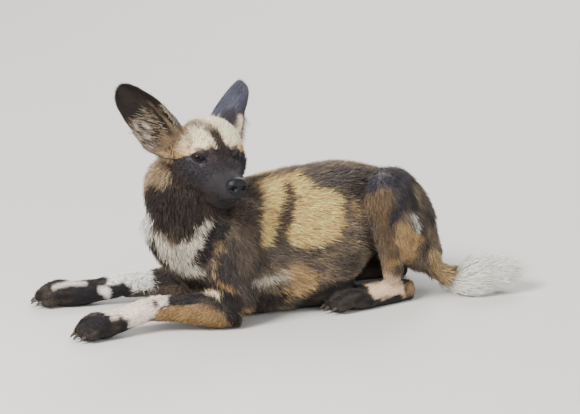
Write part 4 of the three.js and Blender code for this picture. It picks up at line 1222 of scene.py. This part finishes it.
# The hair of the ears. Long fine pale hair keeps dust out of each ear: it lies up the inside of the cup and
# stands out from the front rim, near the root.
EAR_HAIRS = 760
ear_hair = []
for side in EARS:
    base, stand, opening, cross = ear_frame(side)
    height, front = on_ear(side, middles)
    facing = (normals[triangle_points].mean(axis=1) @ opening) > -0.2
    mouth_rim = (height > 0.16) & (height < 0.5) & (front > 17) & facing
    within = (height > 0.12) & (height < 0.56) & (front < 4) & (front > -31) & facing
    owned = owned_by(triangle_weights, f"ear_{side}")[:, 0] > 0.3
    share = np.where(owned, np.where(mouth_rim, 3.0, np.where(within, 1.0, 0.0)), 0.0)
    place, normal, spot = some_roots(EAR_HAIRS, share)
    _, front = on_ear(side, place)
    out = np.where(front > 16, 1.0, 0.12)[:, None]
    forwards = cross * (1 if side == "right" else -1)
    way = (0.35 * forwards + 0.8 * opening) * out + stand * (0.9 - out) - 0.5 * cross * (1 - out)
    ear_hair.append((place, normal, spot, way))
place, normal, spot, flow = (np.concatenate(part) for part in zip(*ear_hair))
flow = flow + 0.14 * draw.normal(size=flow.shape)
EAR_HAIR_DARK, EAR_HAIR_PALE = srgb(96, 78, 60), srgb(222, 210, 190)
colour = tint(EAR_HAIR_DARK, draw.uniform(0.0, 1.0, (len(place), 1)) ** 1.5, EAR_HAIR_PALE)
make_tufts(
    "ear_hair",
    place,
    normal,
    spot,
    flow,
    draw.uniform(8, 17, len(place)),
    draw.uniform(0.45, 0.8, len(place)),
    np.radians(draw.uniform(10, 26, len(place))),
    colour,
    "coat",
    FUR,
    rings=3,
)


# The whiskers. They are stiff dark hairs that stand in rows on the upper lip, about twenty on each side, and
# sweep back and a little down.
WHISKERS = 44
WHISKER_PAD, WHISKER_REACH = np.array([74, 19, -30]), (16, 8, 9)
lip_spots = np.minimum(
    np.linalg.norm((local_middles - WHISKER_PAD) / WHISKER_REACH, axis=1),
    np.linalg.norm((local_middles - WHISKER_PAD * MIRROR) / WHISKER_REACH, axis=1),
)
place, normal, spot = some_roots(WHISKERS, np.where(lip_spots < 1, 1.0, 0.0))
make_tufts(
    "whiskers",
    place,
    normal,
    spot,
    head_way(-1, 0, -0.35) + 0.25 * draw.normal(size=place.shape),
    draw.uniform(16, 30, len(place)),
    draw.uniform(0.45, 0.6, len(place)),
    np.radians(draw.uniform(30, 55, len(place))),
    np.tile(srgb(30, 26, 26), (len(place), 1)),
    "dark_coat",
    FUR,
    rings=4,
    curl=0.6,
)


# The tail brush. The end of the real tail is a flag of long white hair with a soft loose outline. The hair
# grows from the last third of the tail, lies back along it and spreads upwards.
BRUSH_HAIRS = 6500
axis_start, axis_end = ZONES["brush"][0], ZONES["brush"][1]
on_brush = (owned_by(triangle_weights, "brush")[:, 0] > 0.45) & (middles[:, 2] > 2)
place, normal, spot = some_roots(BRUSH_HAIRS, np.where(on_brush, 1.0, 0.0))
axis = unit(axis_end - axis_start)
reach = (place - axis_start) @ axis
length = draw.uniform(36, 60, len(place)) * np.clip(1.18 - reach / 170, 0.7, 1)
flow = axis + 0.22 * draw.normal(size=place.shape) + np.array([0, 0, 0.2])
colour = np.clip(srgb(252, 248, 238) * draw.uniform(0.86, 1.1, (len(place), 1)), 0, 0.97)
make_tufts(
    "tail_brush_hair",
    place,
    normal,
    spot,
    flow,
    length,
    draw.uniform(1.2, 2.0, len(place)),
    np.radians(draw.uniform(22, 62, len(place))),
    colour,
    "white_coat",
    FUR,
    rings=4,
    curl=0.9,
)
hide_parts("tail_brush")


# The eyes. Each is a clear wet ball set behind the lids: a dark brown iris round a black pupil. The bands of
# the iris are rings round the way that the eye looks.
EYE_BANDS = (
    # place along the gaze as a share of the radius, tone
    (0.70, (0.02, 0.012, 0.01, 1)),
    (0.74, (0.012, 0.007, 0.005, 1)),
    (0.88, (0.018, 0.010, 0.006, 1)),
    (0.90, (0.003, 0.003, 0.003, 1)),
)
for side, (middle, gaze) in EYES.items():
    bpy.ops.mesh.primitive_uv_sphere_add(segments=48, ring_count=32, radius=EYE_RADIUS * MM)
    eye = bpy.context.object
    eye.name = f"eye_{side}_ball"
    shade_smooth(eye.data)
    eye.rotation_euler = Vector(head_way(*gaze)).to_track_quat("Z", "Y").to_euler()
    eye.location = Vector(on_head(*middle) * MM)
    look, tree, surface = new_finish(f"eye_{side}", {"Roughness": 0.08, "Specular IOR Level": 0.14})
    spots = add_layer(tree, "ShaderNodeTexCoord").outputs["Object"]
    along_gaze = add_layer(tree, "ShaderNodeSeparateXYZ", {"Vector": spots}).outputs["Z"]
    share = add_layer(tree, "ShaderNodeMapRange", {"From Max": EYE_RADIUS * MM, "Value": along_gaze})
    bands = add_layer(tree, "ShaderNodeValToRGB", {"Fac": share.outputs["Result"]})
    tones = bands.color_ramp.elements
    tones[0].color = EYE_BANDS[0][1]
    tones[1].color = EYE_BANDS[-1][1]
    for position, tone in EYE_BANDS:
        tones.new(position).color = tone
    apply(tree, surface, {"Base Color": bands.outputs["Color"]})
    eye.data.materials.append(look)
    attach(eye, "root")
    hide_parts(f"eye_{side}")


# The nose. It is a pad of wet dark leather with a pebbled grain, split by a groove down its middle, with a
# comma-shaped nostril on each side. It closes the front of the muzzle.
NOSE_HALF = (10.8, 16.4, 13.2)
NOSE_AT = np.array([91.8, 0, -15.2])
NOSTRIL_DEEP, GROOVE_DEEP = 6.5, 1.8
nose_mesh = bpy.data.meshes.new("nose_pad")
pad = bmesh.new()
bmesh.ops.create_uvsphere(pad, u_segments=96, v_segments=64, radius=1.0)
pad.to_mesh(nose_mesh)
pad.free()
ball = read_points(nose_mesh) * MM
nose = ball * NOSE_HALF
nose[:, 1] *= 1 - 0.16 * np.clip(-ball[:, 2], 0, 1)
nose[:, 0] += 1.2 * np.clip(ball[:, 2], 0, 1)
front = np.clip(ball[:, 0], 0, 1)
groove = np.exp(-((nose[:, 1] / 0.9) ** 2)) * np.clip(0.5 - ball[:, 2], 0, 1) * front
nose[:, 0] -= GROOVE_DEEP * groove
for sign in (1, -1):
    left, up = nose[:, 1] * sign, nose[:, 2]
    hole = np.exp(-(((left - 7.4) / 3.6) ** 2 + ((up + 0.8) / 3.2) ** 2) ** 1.6) * front
    slit = np.exp(-(((left - 11.2) / 3.4) ** 2 + ((up + 2.6) / 1.3) ** 2) ** 1.3) * front
    nose[:, 0] -= NOSTRIL_DEEP * np.maximum(hole, 0.8 * slit)
    wing = np.exp(-(((left - 9) / 4.5) ** 2 + ((up - 4.2) / 2.2) ** 2)) * front
    nose[:, 0] += 0.8 * wing
write_points(nose_mesh, HEAD_AT + (nose + NOSE_AT) @ HEAD_TURN.T)
shade_smooth(nose_mesh)
nose_piece = add_to_scene("nose_pad", nose_mesh)
NOSE_TONE = (0.004, 0.0045, 0.0075, 1)
leather, tree, surface = new_finish(
    "nose_leather", {"Base Color": NOSE_TONE, "Roughness": 0.46, "Specular IOR Level": 0.24}
)
spots = add_layer(tree, "ShaderNodeTexCoord").outputs["Object"]
pebbles = add_layer(tree, "ShaderNodeTexVoronoi", {"Scale": 1100, "Vector": spots})
relief = add_layer(
    tree, "ShaderNodeBump", {"Strength": 0.4, "Distance": 0.0003, "Height": pebbles.outputs["Distance"]}
)
relief.invert = True
apply(tree, surface, {"Normal": relief.outputs["Normal"]})
nose_mesh.materials.append(leather)
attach(nose_piece, "root")
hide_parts("nose")


# The claws. They are blunt dark horn, one at the end of each toe, and can't be drawn back. The claws of the
# solids are shown, with smooth faces.
horn, tree, surface = new_finish("claw_horn", {"Roughness": 0.35})
spots = add_layer(tree, "ShaderNodeTexCoord").outputs["Object"]
grain = add_layer(tree, "ShaderNodeTexNoise", {"Scale": 500, "Vector": spots})
tones = add_layer(tree, "ShaderNodeValToRGB", {"Fac": grain.outputs["Fac"]})
tones.color_ramp.elements[0].color = (0.012, 0.010, 0.009, 1)
tones.color_ramp.elements[1].color = (0.085, 0.066, 0.052, 1)
apply(tree, surface, {"Base Color": tones.outputs["Color"]})
for name, node in NODES.items():
    if "claw" in name:
        node.data.materials.clear()
        node.data.materials.append(horn)
        shade_smooth(node.data)
